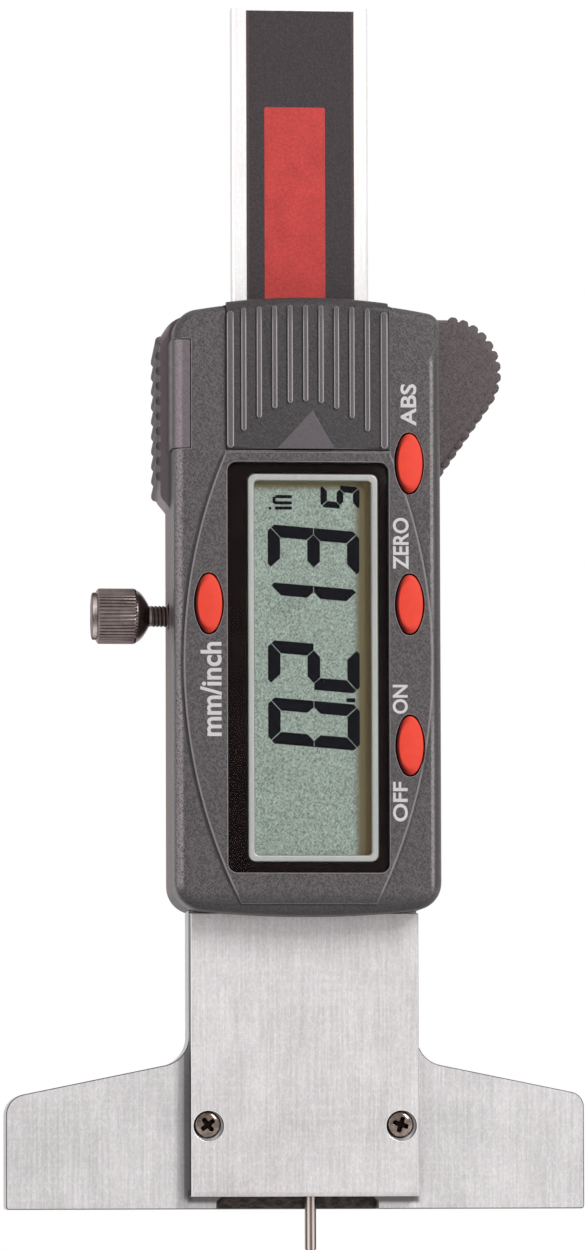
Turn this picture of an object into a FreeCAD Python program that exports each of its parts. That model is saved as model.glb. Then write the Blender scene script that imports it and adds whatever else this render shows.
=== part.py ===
import FreeCAD, Part
import os
from math import acos, atan2, cos, hypot, pi, sin, tan

# Digital depth gauge with a T-shaped base, a sliding beam and a thin probe rod.
# Millimetres. +Z runs up the beam, -Y is the display side, Z 0 is the measuring face,
# X 0 is the middle of the stem and Y 0 is the middle of the beam's thickness.

# Beam and probe rod
beam_width = 18.0
beam_thick = 3.5
beam_length = 134.8
beam_edge_break = 0.25
full_reach = 25.4
reading_shown = 5.42
end_gap_at_full_reach = 4.0
rod_dia = 1.5
rod_offset = 1.1
rod_grip = 8.0
rod_tip_break = 0.2
rod_fit = 0.01

# Scale strip in its recess
scale_width = 14.2
scale_thick = 0.2
scale_recess = 0.25
scale_side_gap = 0.05
scale_top_margin = 0.5
scale_low_margin = 12.0

# Travel stop: a pin in the frame and a slot in the beam's back
stop_pin_dia = 2.0
stop_rise = 27.75
stop_slot_depth = 1.1
stop_side_gap = 0.25
stop_end_gap = 0.3
stop_pin_short = 0.2

# Gib strip between the beam and the left rail
gib_thick = 1.2
gib_slack = 0.35
gib_width = 3.1
gib_length = 64.0
gib_dimple = 0.5

# Frame: base, stem and channel
slide_gap = 0.05
channel_back_gap = 0.1
channel_front_gap = 0.2
web_thick = 2.2
stem_width = 30.1
stem_corner = 0.5
base_left_reach = 39.1
base_right_reach = 37.2
wing_root_height = 19.55
wing_fall_share = 0.204
root_radius = 3.9
tip_radius_left = 2.8
tip_radius_right = 2.0
foot_radius = 0.4
mouth_widening = 0.8
mouth_height = 1.9

# Cover plate and its screws
plate_thick = 2.8
plate_low_gap = 1.85
plate_lap = 0.55
plate_inset = 0.05
plate_edge_break = 0.45
plate_screw_spacing = 25.4
plate_screw_height = 10.9
plate_screw_dia = 2.0
plate_screw_length = 5.2
plate_head_dia = 3.8
plate_head_height = 1.25
plate_head_proud = 0.25
plate_bore_gap = 0.08

# Housing shells
stem_fit = 0.05
side_wall = 2.4
key_side_wall = 1.6
housing_low_height = 38.25
low_arch = 1.15
top_wall = 2.85
top_arch = 1.85
back_wall = 1.5
rim_ahead_of_frame = 2.05
board_thick = 1.0
inner_depth = 6.65
front_wall = 1.4
panel_rise = 0.3
inner_end_wall = 2.2
top_corner_left = 3.4
top_corner_right = 1.9
low_corner = 3.6
front_round = 1.45
rim_run_share = 0.586
rim_step_share = 0.2
back_break = 1.0
plate_notch_gap = 0.12
panel_top_half = 10.8
panel_mid_half = 16.35
panel_low_half = 8.9
panel_mid_share = 0.565
panel_low_rise = 1.45
panel_top_gap = 0.25

# Battery cover and battery
cover_sill = 1.55
cover_run = 16.9
cover_width = 21.3
cover_plate_thick = 1.65
cover_side_gap = 0.1
cover_tongue = 0.45
cover_tongue_thick = 0.7
cover_end_gap = 0.15
cover_rib_count = 9
cover_rib_pitch = 2.03
cover_rib_width = 0.68
cover_rib_rise = 0.35
cover_rib_clip_share = 0.6
cover_rib_top_gap = 1.15
cover_rib_shift = -0.3
cover_top_rise = 0.4
cover_rail_reach = 10.1
cover_rail_shift = -0.08
cover_rail_low_gap = 0.25
cover_rail_top_gap = 1.4
cover_rib_low_side = 2.5
cover_rib_low_middle = 6.4
cover_rail_width = 0.9
cover_arrow_width = 7.7
cover_arrow_height = 5.1
cover_arrow_lean = 0.6
cover_arrow_rise = 0.15
battery_dia = 11.6
battery_thick = 5.4
battery_step = 0.9
battery_step_thick = 1.2
battery_side_gap = 0.3
battery_seat = 0.5
well_wall = 0.9
well_short = 0.35
battery_drop = 7.0
contact_sheet = 0.2
contact_width = 4.0
contact_foot = 3.2

# Display
window_low_gap = 5.55
window_width = 21.2
window_length = 53.75
window_corner = 1.2
lens_thick = 1.0
lens_gap = 0.05
lens_ledge = 0.8
mask_thick = 0.12
view_offset = 0.7
view_side_margin = 2.95
view_end_margin = 2.375
view_corner = 0.5
ring_width = 1.05
ring_depth = 1.3
ring_gap = 0.1
glass_margin = 0.7
glass_thick = 1.8
zebra_width = 1.8
zebra_inset = 0.3
zebra_end_inset = 2.0

# Keys and domes
key_width = 3.7
key_length = 7.9
key_proud = 0.45
key_gap = 0.12
key_travel = 0.5
key_flange_width = 4.0
key_flange_length = 9.2
key_flange_thick = 0.6
key_flange_gap = 0.05
key_crown = 0.3
key_end_share = 0.62
key_post_width = 2.0
key_rest_gap = 0.1
key_column_right = 13.3
key_column_left = 13.05
key_first_rise = 22.2
key_pitch = 18.5
dome_width = 3.6
dome_trim_share = 0.45
dome_slope = 0.3
dome_height = 0.35

# Data port and its cover strip
port_low_drop = 16.65
port_length = 14.2
port_cover_width = 2.4
port_cover_proud = 0.3
port_cover_skin = 0.95
port_front_drop = 0.15
port_gap = 0.1
port_split_gap = 0.3
port_end_margin = 2.2
port_clip_gap = 0.25
port_clip_reach = 1.5
port_round = 1.4
port_mouth_depth = 3.4
pad_count = 4
pad_pitch = 2.1
pad_width = 1.1
pad_length = 2.0
pad_thick = 0.1

# Circuit board and its parts
board_side_gap = 0.45
board_low_gap = 3.0
board_top_gap = 1.2
board_notch_gap = 0.3
chip_dia = 7.0
chip_thick = 0.8
chip_rise = 17.75
crystal_dia = 1.9
crystal_length = 6.0
crystal_drop = 30.0
crystal_side = 10.2
crystal_sink = 0.13

# Screws through the back
screw_dia = 1.9
screw_head_dia = 3.4
screw_head_height = 0.9
screw_column = 12.7
screw_low_rise = 6.45
screw_top_drop = 3.1
screw_hole_gap = 0.15
screw_grip = 5.0
boss_width = 4.2

# Lock screw
lock_rise = 39.85
lock_dia = 3.0
lock_hole_gap = 0.3
lock_thread_gap = 0.04
lock_tip_dia = 1.6
lock_tip_length = 0.8
lock_tip_gap = 0.05
lock_neck_length = 2.55
lock_dome_length = 1.93
lock_dome_shares = [(0, 1), (0.5, 0.88), (1, 0.46)]
lock_drum_length = 5.1
lock_drum_dia = 7.36
lock_drum_break = 0.3
lock_cap_dia = 6.3
lock_cap_length = 0.57

# Serrated grip on the left wall
grip_stand = 1.3
grip_low_drop = 22.4
grip_lead = 1.6
grip_corner = 4.2
grip_front_gap = 0.4
grip_back_gap = 1.4
ridge_count = 10
ridge_pitch = 1.98
ridge_first = 1.7
ridge_radius = 0.7
ridge_sink = 0.1
ridge_lean = 2.0
ridge_shares = [(0, -1), (0.7, -0.75), (1, -0.28), (1, 0.28), (0.7, 0.75), (0, 1)]

# Toothed thumb rest on the right wall
rest_centre_out = 1.5
rest_drop = 5.7
rest_radius = 7.45
rest_foot_run = 16.0
rest_front_gap = 0.6
rest_back_gap = 2.2
rest_rim_run = 0.45
rest_flank_run = 1.9
rest_rim_depth = 0.8
tooth_rise = 0.42
tooth_pitch = 1.5
tooth_start = 0.3
tooth_shares = [(-0.44, -1), (-0.4, 0.35), (-0.2, 1), (0.2, 1), (0.4, 0.35), (0.44, -1)]

# Shared by every cut that must run past a face, and by every search for an edge
overrun = 1.0
match_gap = 0.01

# Levels through the thickness, worked out from the sizes above
beam_front_y = -beam_thick / 2
beam_back_y = beam_thick / 2
frame_front_y = beam_front_y - channel_front_gap
channel_floor_y = beam_back_y + channel_back_gap
frame_back_y = channel_floor_y + web_thick
plate_front_y = frame_front_y - plate_thick
board_front_y = frame_front_y - board_thick
shell_inner_y = board_front_y - inner_depth
panel_front_y = shell_inner_y - front_wall
skirt_front_y = panel_front_y + panel_rise
split_y = frame_front_y - rim_ahead_of_frame
housing_back_y = frame_back_y + back_wall

# Half widths and heights worked out from the sizes above
stem_half = stem_width / 2
beam_half = beam_width / 2
channel_right_x = beam_half + slide_gap
gib_right_x = -beam_half - slide_gap
gib_left_x = gib_right_x - gib_thick
channel_left_x = gib_left_x - gib_slack
pocket_half = stem_half + stem_fit
housing_half = pocket_half + side_wall
beam_low_z = end_gap_at_full_reach + full_reach - reading_shown
beam_top_z = beam_low_z + beam_length
window_low_z = housing_low_height + window_low_gap
window_top_z = window_low_z + window_length
window_middle_z = window_low_z + window_length / 2
view_width = window_width - 2 * view_side_margin
view_length = window_length - 2 * view_end_margin
cover_low_z = window_top_z + cover_sill
stem_height = cover_low_z + cover_run
housing_top_height = stem_height + top_wall
plate_top_z = housing_low_height + plate_lap
battery_height = stem_height - battery_drop
stop_height = housing_low_height + stop_rise
lock_height = housing_low_height + lock_rise
screw_low_height = housing_low_height + screw_low_rise
screw_top_height = stem_height - screw_top_drop
grip_low_height = stem_height - grip_low_drop
rest_height = stem_height - rest_drop
rest_foot_height = rest_height - rest_foot_run
chip_height = housing_low_height + chip_rise
crystal_low_z = stem_height - crystal_drop
cover_inner_y = panel_front_y + cover_plate_thick
cover_half = cover_width / 2
tongue_half = cover_half + cover_tongue
lens_back_y = panel_front_y + lens_thick
mask_back_y = lens_back_y + mask_thick
ring_back_y = mask_back_y + ring_depth
glass_back_y = ring_back_y + glass_thick
cavity_low_z = housing_low_height + low_arch + inner_end_wall
cavity_top_z = housing_top_height - top_arch - inner_end_wall
key_middle_z = housing_low_height + key_first_rise + key_pitch
port_low_height = stem_height - port_low_drop
port_top_z = port_low_height + port_length


def box(x0, x1, y0, y1, z0, z1):
    corner = FreeCAD.Vector(min(x0, x1), min(y0, y1), min(z0, z1))
    return Part.makeBox(abs(x1 - x0), abs(y1 - y0), abs(z1 - z0), corner)


def rod_x(radius, x0, x1, y, z):
    start = FreeCAD.Vector(min(x0, x1), y, z)
    return Part.makeCylinder(radius, abs(x1 - x0), start, FreeCAD.Vector(1, 0, 0))


def rod_y(radius, x, y0, y1, z):
    start = FreeCAD.Vector(x, min(y0, y1), z)
    return Part.makeCylinder(radius, abs(y1 - y0), start, FreeCAD.Vector(0, 1, 0))


def rod_z(radius, x, y, z0, z1):
    start = FreeCAD.Vector(x, y, min(z0, z1))
    return Part.makeCylinder(radius, abs(z1 - z0), start, FreeCAD.Vector(0, 0, 1))


def front_point(a, b):
    # A point of an outline that is drawn in the front view
    return FreeCAD.Vector(a, 0, b)


def rounded_edges(corners):
    # Lines and tangent arcs round a closed outline of (x, z, radius) corners
    count = len(corners)
    turns = []
    for index in range(count):
        here = front_point(*corners[index][:2])
        back = front_point(*corners[index - 1][:2]).sub(here).normalize()
        ahead = front_point(*corners[(index + 1) % count][:2]).sub(here).normalize()
        radius = corners[index][2]
        half = back.getAngle(ahead) / 2
        reach = radius / tan(half) if radius else 0
        inward = back.add(ahead).normalize()
        nearest = radius / sin(half) - radius if radius else 0
        turns.append((here + back * reach, here + inward * nearest, here + ahead * reach, radius))
    edges = []
    for index in range(count):
        start, middle, end, radius = turns[index]
        before = turns[index - 1][2]
        if before.distanceToPoint(start) > match_gap:
            edges.append(Part.makeLine(before, start))
        if radius:
            edges.append(Part.Arc(start, middle, end).toShape())
    return edges


def slab(edges, y0, y1):
    # An outline in the front view, given depth between two levels
    face = Part.Face(Part.Wire(Part.__sortEdges__(edges)))
    face.translate(FreeCAD.Vector(0, min(y0, y1), 0))
    return face.extrude(FreeCAD.Vector(0, abs(y1 - y0), 0))


def rounded_slab(x0, x1, y0, y1, z0, z1, radius):
    corners = [(x0, z0, radius), (x1, z0, radius), (x1, z1, radius), (x0, z1, radius)]
    return slab(rounded_edges(corners), y0, y1)


def oval(x, z, width, length, y0, y1):
    # An upright oval of four tangent arcs, given depth between two levels
    half = width / 2
    end = half * key_end_share
    rise = length / 2 - end
    side = (half * half + rise * rise - end * end) / (2 * (half - end))
    angle = atan2(rise, side - half)
    out = half - side + side * cos(angle)
    up = side * sin(angle)
    corners = [front_point(x + out, z + up), front_point(x - out, z + up),
               front_point(x - out, z - up), front_point(x + out, z - up)]
    tips = [front_point(x, z + length / 2), front_point(x - half, z),
            front_point(x, z - length / 2), front_point(x + half, z)]
    edges = []
    for index in range(4):
        edges.append(Part.Arc(corners[index], tips[index], corners[index - 3]).toShape())
    return slab(edges, y0, y1)


def flat_level(edge, level):
    # Whether an edge lies wholly in the plane at one level through the thickness
    ends = edge.BoundBox
    return abs(ends.YMin - level) < match_gap and abs(ends.YMax - level) < match_gap


def soft_rim(shape, level, radius, lowest):
    # Rounds the edges at one level, above a height, in three flat steps
    run = radius * rim_run_share
    edges = [edge for edge in shape.Edges if flat_level(edge, level)
             and edge.BoundBox.ZMin > lowest]
    shape = shape.makeChamfer(run, edges)
    corners = [edge for edge in shape.Edges
               if (flat_level(edge, level) or flat_level(edge, level + run))
               and edge.BoundBox.ZMin > lowest - run]
    return shape.makeChamfer(radius * rim_step_share, corners)


def break_rim(shape, level, size):
    # Slopes off every edge that lies at one level through the thickness
    edges = [edge for edge in shape.Edges if flat_level(edge, level)]
    return shape.makeChamfer(size, edges)


def arch_height(x, half, end_height, rise):
    # Height on the shallow arch whose ends stand at x = -half and x = half
    radius = (half * half + rise * rise) / (2 * rise)
    return end_height + rise - radius + (radius * radius - x * x) ** 0.5


def housing_corners():
    left = -housing_half
    right = housing_half
    low = housing_low_height + low_arch
    top = housing_top_height - top_arch
    return left, right, low, top


def housing_slab(y0, y1):
    # The common outline of both shells, with shallow arches at both ends
    left, right, low, top = housing_corners()
    low_mid = front_point(0, housing_low_height)
    top_mid = front_point(0, housing_top_height)
    edges = [
        Part.makeLine(front_point(left, low), front_point(left, top)),
        Part.Arc(front_point(left, top), top_mid, front_point(right, top)).toShape(),
        Part.makeLine(front_point(right, top), front_point(right, low)),
        Part.Arc(front_point(right, low), low_mid, front_point(left, low)).toShape(),
    ]
    body = slab(edges, y0, y1)
    for x, z, radius in ((left, top, top_corner_left), (right, top, top_corner_right),
                         (left, low, low_corner), (right, low, low_corner)):
        at_corner = [edge for edge in body.Edges if is_upright_corner(edge, x, z)]
        body = body.makeFillet(radius, at_corner)
    return body


def is_upright_corner(edge, x, z):
    # Whether an edge runs straight through the thickness at one corner
    ends = edge.BoundBox
    return (abs(ends.XMin - x) < match_gap and abs(ends.XMax - x) < match_gap
            and abs(ends.ZMin - z) < match_gap and abs(ends.ZMax - z) < match_gap)


def frame_outline():
    left_tip = wing_root_height - wing_fall_share * (base_left_reach - stem_half)
    right_tip = wing_root_height - wing_fall_share * (base_right_reach - stem_half)
    return [
        (-base_left_reach, 0, foot_radius),
        (base_right_reach, 0, foot_radius),
        (base_right_reach, right_tip, tip_radius_right),
        (stem_half, wing_root_height, root_radius),
        (stem_half, stem_height, stem_corner),
        (-stem_half, stem_height, stem_corner),
        (-stem_half, wing_root_height, root_radius),
        (-base_left_reach, left_tip, tip_radius_left),
    ]


def mouth_cut():
    # The channel widens at the measuring face
    left = channel_left_x
    right = channel_right_x
    corners = [
        (left - mouth_widening, -overrun, 0),
        (right + mouth_widening, -overrun, 0),
        (right + mouth_widening, mouth_height - mouth_widening, 0),
        (right, mouth_height, 0),
        (left, mouth_height, 0),
        (left - mouth_widening, mouth_height - mouth_widening, 0),
    ]
    return slab(rounded_edges(corners), frame_front_y - overrun, channel_floor_y)


def screw_places():
    return [(side * screw_column, height) for side in (-1, 1)
            for height in (screw_low_height, screw_top_height)]


def plate_screw_places():
    return [(side * plate_screw_spacing / 2, plate_screw_height) for side in (-1, 1)]


def base_frame():
    frame = slab(rounded_edges(frame_outline()), frame_front_y, frame_back_y)
    channel = box(channel_left_x, channel_right_x, frame_front_y - overrun, channel_floor_y,
                  -overrun, stem_height + overrun)
    frame = frame.cut(channel).cut(mouth_cut())
    for x, z in screw_places():
        hole = rod_y(screw_dia / 2 + screw_hole_gap, x, frame_front_y - overrun,
                     frame_back_y + overrun, z)
        frame = frame.cut(hole)
    for x, z in plate_screw_places():
        depth = plate_screw_seat_y() + plate_screw_length
        frame = frame.cut(rod_y(plate_screw_dia / 2 + rod_fit, x, frame_front_y - overrun,
                                depth + rod_fit, z))
    lock_hole = rod_x(lock_dia / 2 + lock_thread_gap, -stem_half - overrun,
                      channel_left_x + overrun, 0, lock_height)
    pin_hole = rod_y(stop_pin_dia / 2 + rod_fit, 0, channel_floor_y - overrun,
                     frame_back_y + overrun, stop_height)
    return frame.cut(lock_hole).cut(pin_hole)


def plate_screw_seat_y():
    return plate_front_y - plate_head_proud + plate_head_height


def cover_plate():
    half = stem_half - plate_inset
    plate = box(-half, half, plate_front_y, frame_front_y, plate_low_gap, plate_top_z)
    low_front = [edge for edge in plate.Edges if flat_level(edge, plate_front_y)
                 and edge.BoundBox.ZMax < plate_low_gap + match_gap]
    plate = plate.makeFillet(plate_edge_break, low_front)
    seat = plate_screw_seat_y()
    for x, z in plate_screw_places():
        bore = rod_y(plate_head_dia / 2 + plate_bore_gap, x, plate_front_y - overrun, seat, z)
        hole = rod_y(plate_screw_dia / 2 + plate_bore_gap, x, seat - overrun,
                     frame_front_y + overrun, z)
        plate = plate.cut(bore).cut(hole)
    return plate


def plate_screws():
    screws = []
    top = plate_front_y - plate_head_proud
    seat = plate_screw_seat_y()
    for x, z in plate_screw_places():
        head = rod_y(plate_head_dia / 2, x, top, seat, z)
        shank = rod_y(plate_screw_dia / 2, x, seat, seat + plate_screw_length, z)
        screws.append(head.fuse(shank))
    return Part.makeCompound(screws)


def stop_slot():
    # The slot in the beam's back is as long as the travel plus the pin
    low = stop_height - stop_pin_dia / 2 - reading_shown - stop_end_gap
    high = stop_height + stop_pin_dia / 2 + full_reach - reading_shown + stop_end_gap
    half = stop_pin_dia / 2 + stop_side_gap
    return rounded_slab(-half, half, beam_back_y - stop_slot_depth, beam_back_y + overrun,
                        low, high, half - match_gap)


def beam():
    bar = box(-beam_half, beam_half, beam_front_y, beam_back_y, beam_low_z, beam_top_z)
    long_edges = [edge for edge in bar.Edges if edge.BoundBox.ZLength > beam_length / 2]
    bar = bar.makeChamfer(beam_edge_break, long_edges)
    half = scale_width / 2 + scale_side_gap
    recess = box(-half, half, beam_front_y - overrun, beam_front_y + scale_recess,
                 beam_low_z + scale_low_margin - scale_side_gap,
                 beam_top_z - scale_top_margin + scale_side_gap)
    socket = rod_z(rod_dia / 2 + rod_fit, rod_offset, 0, beam_low_z - overrun,
                   beam_low_z + rod_grip)
    return bar.cut(recess).cut(stop_slot()).cut(socket)


def beam_scale():
    back = beam_front_y + scale_recess
    return box(-scale_width / 2, scale_width / 2, back - scale_thick, back,
               beam_low_z + scale_low_margin, beam_top_z - scale_top_margin)


def probe_rod():
    rod = rod_z(rod_dia / 2, rod_offset, 0, -reading_shown, beam_low_z + rod_grip)
    tip = [edge for edge in rod.Edges if edge.BoundBox.ZMax < match_gap - reading_shown]
    return rod.makeChamfer(rod_tip_break, tip)


def stop_pin():
    tip = beam_back_y - stop_slot_depth + stop_pin_short
    return rod_y(stop_pin_dia / 2, 0, tip, frame_back_y, stop_height)


def gib_strip():
    low = lock_height - gib_length / 2
    strip = box(gib_left_x, gib_right_x, -gib_width / 2, gib_width / 2, low, low + gib_length)
    dimple = rod_x(lock_tip_dia / 2 + lock_tip_gap, gib_left_x - overrun,
                   gib_left_x + gib_dimple, 0, lock_height)
    return strip.cut(dimple)


def lens_panel(y0, y1):
    # The raised field of the front face, wide in the middle and narrow at both ends
    low = housing_low_height + panel_low_rise
    top = cover_low_z - panel_top_gap
    middle = low + (top - low) * panel_mid_share
    edges = [
        Part.makeLine(front_point(panel_top_half, top), front_point(-panel_top_half, top)),
        Part.Arc(front_point(-panel_top_half, top), front_point(-panel_mid_half, middle),
                 front_point(-panel_low_half, low)).toShape(),
        Part.makeLine(front_point(-panel_low_half, low), front_point(panel_low_half, low)),
        Part.Arc(front_point(panel_low_half, low), front_point(panel_mid_half, middle),
                 front_point(panel_top_half, top)).toShape(),
    ]
    return slab(edges, y0, y1)


def cover_channel():
    # The open slot and the side grooves that the battery cover slides in
    high = housing_top_height + overrun
    slot = box(-cover_half - cover_side_gap, cover_half + cover_side_gap,
               panel_front_y - overrun, cover_inner_y, cover_low_z, high)
    back = cover_inner_y
    front = back - cover_tongue_thick - cover_side_gap
    groove = box(-tongue_half - cover_side_gap, tongue_half + cover_side_gap, front, back,
                 cover_low_z, high)
    return slot.fuse(groove)


def battery_well():
    # A ring that keeps the cell in place, notched at its foot for the side contact
    inner = battery_dia / 2 + battery_side_gap
    front = cover_inner_y
    back = board_front_y - well_short
    ring = rod_y(inner + well_wall, 0, front, back, battery_height)
    ring = ring.cut(rod_y(inner, 0, front - overrun, back + overrun, battery_height))
    notch = box(-contact_width / 2 - overrun / 2, contact_width / 2 + overrun / 2,
                front + well_wall, back + overrun,
                battery_height - inner - well_wall - overrun, battery_height)
    return ring.cut(notch)


def battery_opening():
    inner = battery_dia / 2 + battery_side_gap
    return rod_y(inner, 0, panel_front_y - overrun, shell_inner_y + overrun, battery_height)


def window_cut():
    half = window_width / 2
    outer = rounded_slab(-half, half, panel_front_y - overrun, mask_back_y,
                         window_low_z, window_top_z, window_corner)
    inner = rounded_slab(lens_ledge - half, half - lens_ledge, panel_front_y - overrun,
                         shell_inner_y + overrun, window_low_z + lens_ledge,
                         window_top_z - lens_ledge, window_corner)
    return outer.fuse(inner)


def key_places():
    # Name, place across and height of each key
    right = key_column_right
    return [
        ("key_abs", right, key_middle_z + key_pitch),
        ("key_zero", right, key_middle_z),
        ("key_on_off", right, key_middle_z - key_pitch),
        ("key_mm_inch", -key_column_left, key_middle_z),
    ]


def port_notch():
    # Where the port cover sits: a shallow L-shaped step and a mouth through the wall
    left = -housing_half - overrun
    low = port_low_height - port_gap
    top = port_top_z + port_gap
    front_leg = box(left, port_inner_x() + port_gap, panel_front_y - overrun,
                    port_leg_y() + port_gap, low, top)
    side_leg = box(left, port_side_x() + port_gap, panel_front_y - overrun,
                   split_y + overrun, low, top)
    mouth = box(left, overrun - pocket_half, split_y - port_mouth_depth, split_y + overrun,
                port_low_height + port_end_margin, port_top_z - port_end_margin)
    return front_leg.fuse(side_leg).fuse(mouth)


def port_outer_x():
    return -housing_half - port_cover_proud


def port_inner_x():
    return port_outer_x() + port_cover_width


def port_side_x():
    return port_outer_x() + port_cover_skin


def port_front_y():
    return skirt_front_y + port_front_drop


def port_leg_y():
    return port_front_y() + port_cover_skin


def port_cover():
    back = split_y - port_split_gap
    front = port_front_y()
    front_leg = box(port_outer_x(), port_inner_x(), front, port_leg_y(),
                    port_low_height, port_top_z)
    side_leg = box(port_outer_x(), port_side_x(), front, back, port_low_height, port_top_z)
    strip = front_leg.fuse(side_leg).removeSplitter()
    outer = [edge for edge in strip.Edges if edge.BoundBox.XMax < port_outer_x() + match_gap
             and flat_level(edge, front)]
    strip = strip.makeFillet(port_round, outer)
    clip = box(port_side_x(), port_side_x() + port_clip_reach,
               split_y - port_mouth_depth + port_clip_gap, back,
               port_low_height + port_end_margin + port_clip_gap,
               port_top_z - port_end_margin - port_clip_gap)
    return strip.fuse(clip).removeSplitter()


def screw_bosses():
    # Square posts that run into the side walls
    bosses = []
    for x, z in screw_places():
        inner = abs(x) - boss_width / 2
        side = x / abs(x)
        low = z - boss_width / 2
        high = z + boss_width / 2
        start = shell_inner_y - front_wall / 2
        bosses.append(box(side * inner, side * stem_half, start, board_front_y, low, high))
        bosses.append(box(side * inner, side * (pocket_half + side_wall / 2), start, split_y,
                          low, high))
    return bosses


def screw_pilots():
    pilots = []
    for x, z in screw_places():
        deep = board_front_y - screw_grip - rod_fit
        pilots.append(rod_y(screw_dia / 2 + rod_fit, x, deep, board_front_y + overrun, z))
    return pilots


def front_housing():
    shell = soft_rim(housing_slab(skirt_front_y, split_y), skirt_front_y, front_round, 0)
    shell = shell.fuse(lens_panel(panel_front_y, shell_inner_y)).removeSplitter()
    cavity = rounded_slab(-pocket_half, housing_half - key_side_wall, shell_inner_y,
                          split_y + overrun, cavity_low_z, cavity_top_z, foot_radius)
    shell = shell.cut(cavity)
    for boss in screw_bosses():
        shell = shell.fuse(boss)
    shell = shell.fuse(battery_well())
    shell = shell.cut(window_cut()).cut(cover_channel()).cut(battery_opening())
    for name, x, z in key_places():
        hole = oval(x, z, key_width + 2 * key_gap, key_length + 2 * key_gap,
                    panel_front_y - overrun, shell_inner_y + overrun)
        shell = shell.cut(hole)
    for pilot in screw_pilots():
        shell = shell.cut(pilot)
    notch_half = stem_half + plate_notch_gap
    plate_notch = box(-notch_half, notch_half, plate_front_y - plate_notch_gap,
                      split_y + overrun, 0, plate_top_z + plate_notch_gap)
    return shell.cut(plate_notch).cut(port_notch())


def grip_pad():
    # The serrated pad stands proud of the left wall and rounds into the top
    left = -housing_half - grip_stand
    inside = overrun - pocket_half
    top = housing_top_height - top_arch
    corners = [
        (inside, grip_low_height - grip_lead, 0),
        (-housing_half, grip_low_height - grip_lead, 0),
        (left, grip_low_height, grip_stand),
        (left, top, grip_corner),
        (inside, arch_height(inside, housing_half, top, top_arch), 0),
    ]
    return slab(rounded_edges(corners), split_y + grip_front_gap, housing_back_y - grip_back_gap)


def grip_ridge(index):
    # One blunt ridge, leaning down towards the back
    front = split_y + grip_front_gap
    deep = housing_back_y - grip_back_gap - front
    x = ridge_sink - housing_half - grip_stand
    z = grip_low_height + ridge_first + index * ridge_pitch + ridge_lean / 2
    points = [FreeCAD.Vector(x - out * ridge_radius, front, z + up * ridge_radius)
              for out, up in ridge_shares]
    outline = Part.makePolygon(points + points[:1])
    return Part.Face(outline).extrude(FreeCAD.Vector(0, deep, -ridge_lean))


def rest_outline(radius, foot_height):
    # A round lobe that runs down to the wall in a straight flank
    centre_x = housing_half + rest_centre_out
    inside = housing_half - side_wall / 2
    out = centre_x - inside
    down = rest_height - foot_height
    reach = hypot(out, down)
    flank = atan2(-down, -out) + acos(radius / reach)
    middle_angle = flank / 2 + pi / 4
    touch = front_point(centre_x + radius * cos(flank), rest_height + radius * sin(flank))
    middle = front_point(centre_x + radius * cos(middle_angle),
                         rest_height + radius * sin(middle_angle))
    top = front_point(centre_x, rest_height + radius)
    foot = front_point(inside, foot_height)
    shoulder = front_point(inside, rest_height + radius)
    outline = Part.Wire([
        Part.makeLine(foot, touch),
        Part.Arc(touch, middle, top).toShape(),
        Part.makeLine(top, shoulder),
        Part.makeLine(shoulder, foot),
    ])
    return outline, touch, flank


def thumb_rest():
    # The front rim slopes back to the full outline, and the teeth stand on that
    front = split_y + rest_front_gap
    slope_end = front + rest_rim_depth
    back = housing_back_y - rest_back_gap
    radius = rest_radius - tooth_rise
    face, touch, flank = rest_outline(radius - rest_rim_run, rest_foot_height + rest_flank_run)
    full, touch, flank = rest_outline(radius, rest_foot_height)
    face.translate(FreeCAD.Vector(0, front, 0))
    full.translate(FreeCAD.Vector(0, slope_end, 0))
    rim = Part.makeLoft([face, full], True, True)
    body = Part.Face(full).extrude(FreeCAD.Vector(0, back - slope_end, 0))
    teeth = [tooth(x, z, angle, front + tooth_start, back)
             for x, z, angle in tooth_places(touch, flank)]
    return body.fuse([rim] + teeth)


def tooth(x, z, angle, front, back):
    # One blunt tooth that stands on the outline at a point and points away at an angle
    out = FreeCAD.Vector(cos(angle), 0, sin(angle))
    aside = FreeCAD.Vector(-sin(angle), 0, cos(angle))
    foot = FreeCAD.Vector(x, front, z)
    points = [foot + aside * (share * tooth_pitch) + out * (rise * tooth_rise)
              for share, rise in tooth_shares]
    outline = Part.Face(Part.makePolygon(points + points[:1]))
    return outline.extrude(FreeCAD.Vector(0, back - front, 0))


def tooth_places(touch, flank):
    # Evenly spaced round the lobe, then on down its straight flank
    centre_x = housing_half + rest_centre_out
    radius = rest_radius - tooth_rise
    places = []
    step = tooth_pitch / radius
    for index in range(int((pi / 2 - flank) / step)):
        angle = flank + (index + 0.5) * step
        places.append((centre_x + radius * cos(angle), rest_height + radius * sin(angle), angle))
    along = front_point(sin(flank), -cos(flank))
    run = (touch.x - housing_half) / -sin(flank)
    for index in range(int(run / tooth_pitch)):
        place = touch + along * (tooth_pitch * (index + 0.5))
        places.append((place.x, place.z, flank))
    return places


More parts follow.
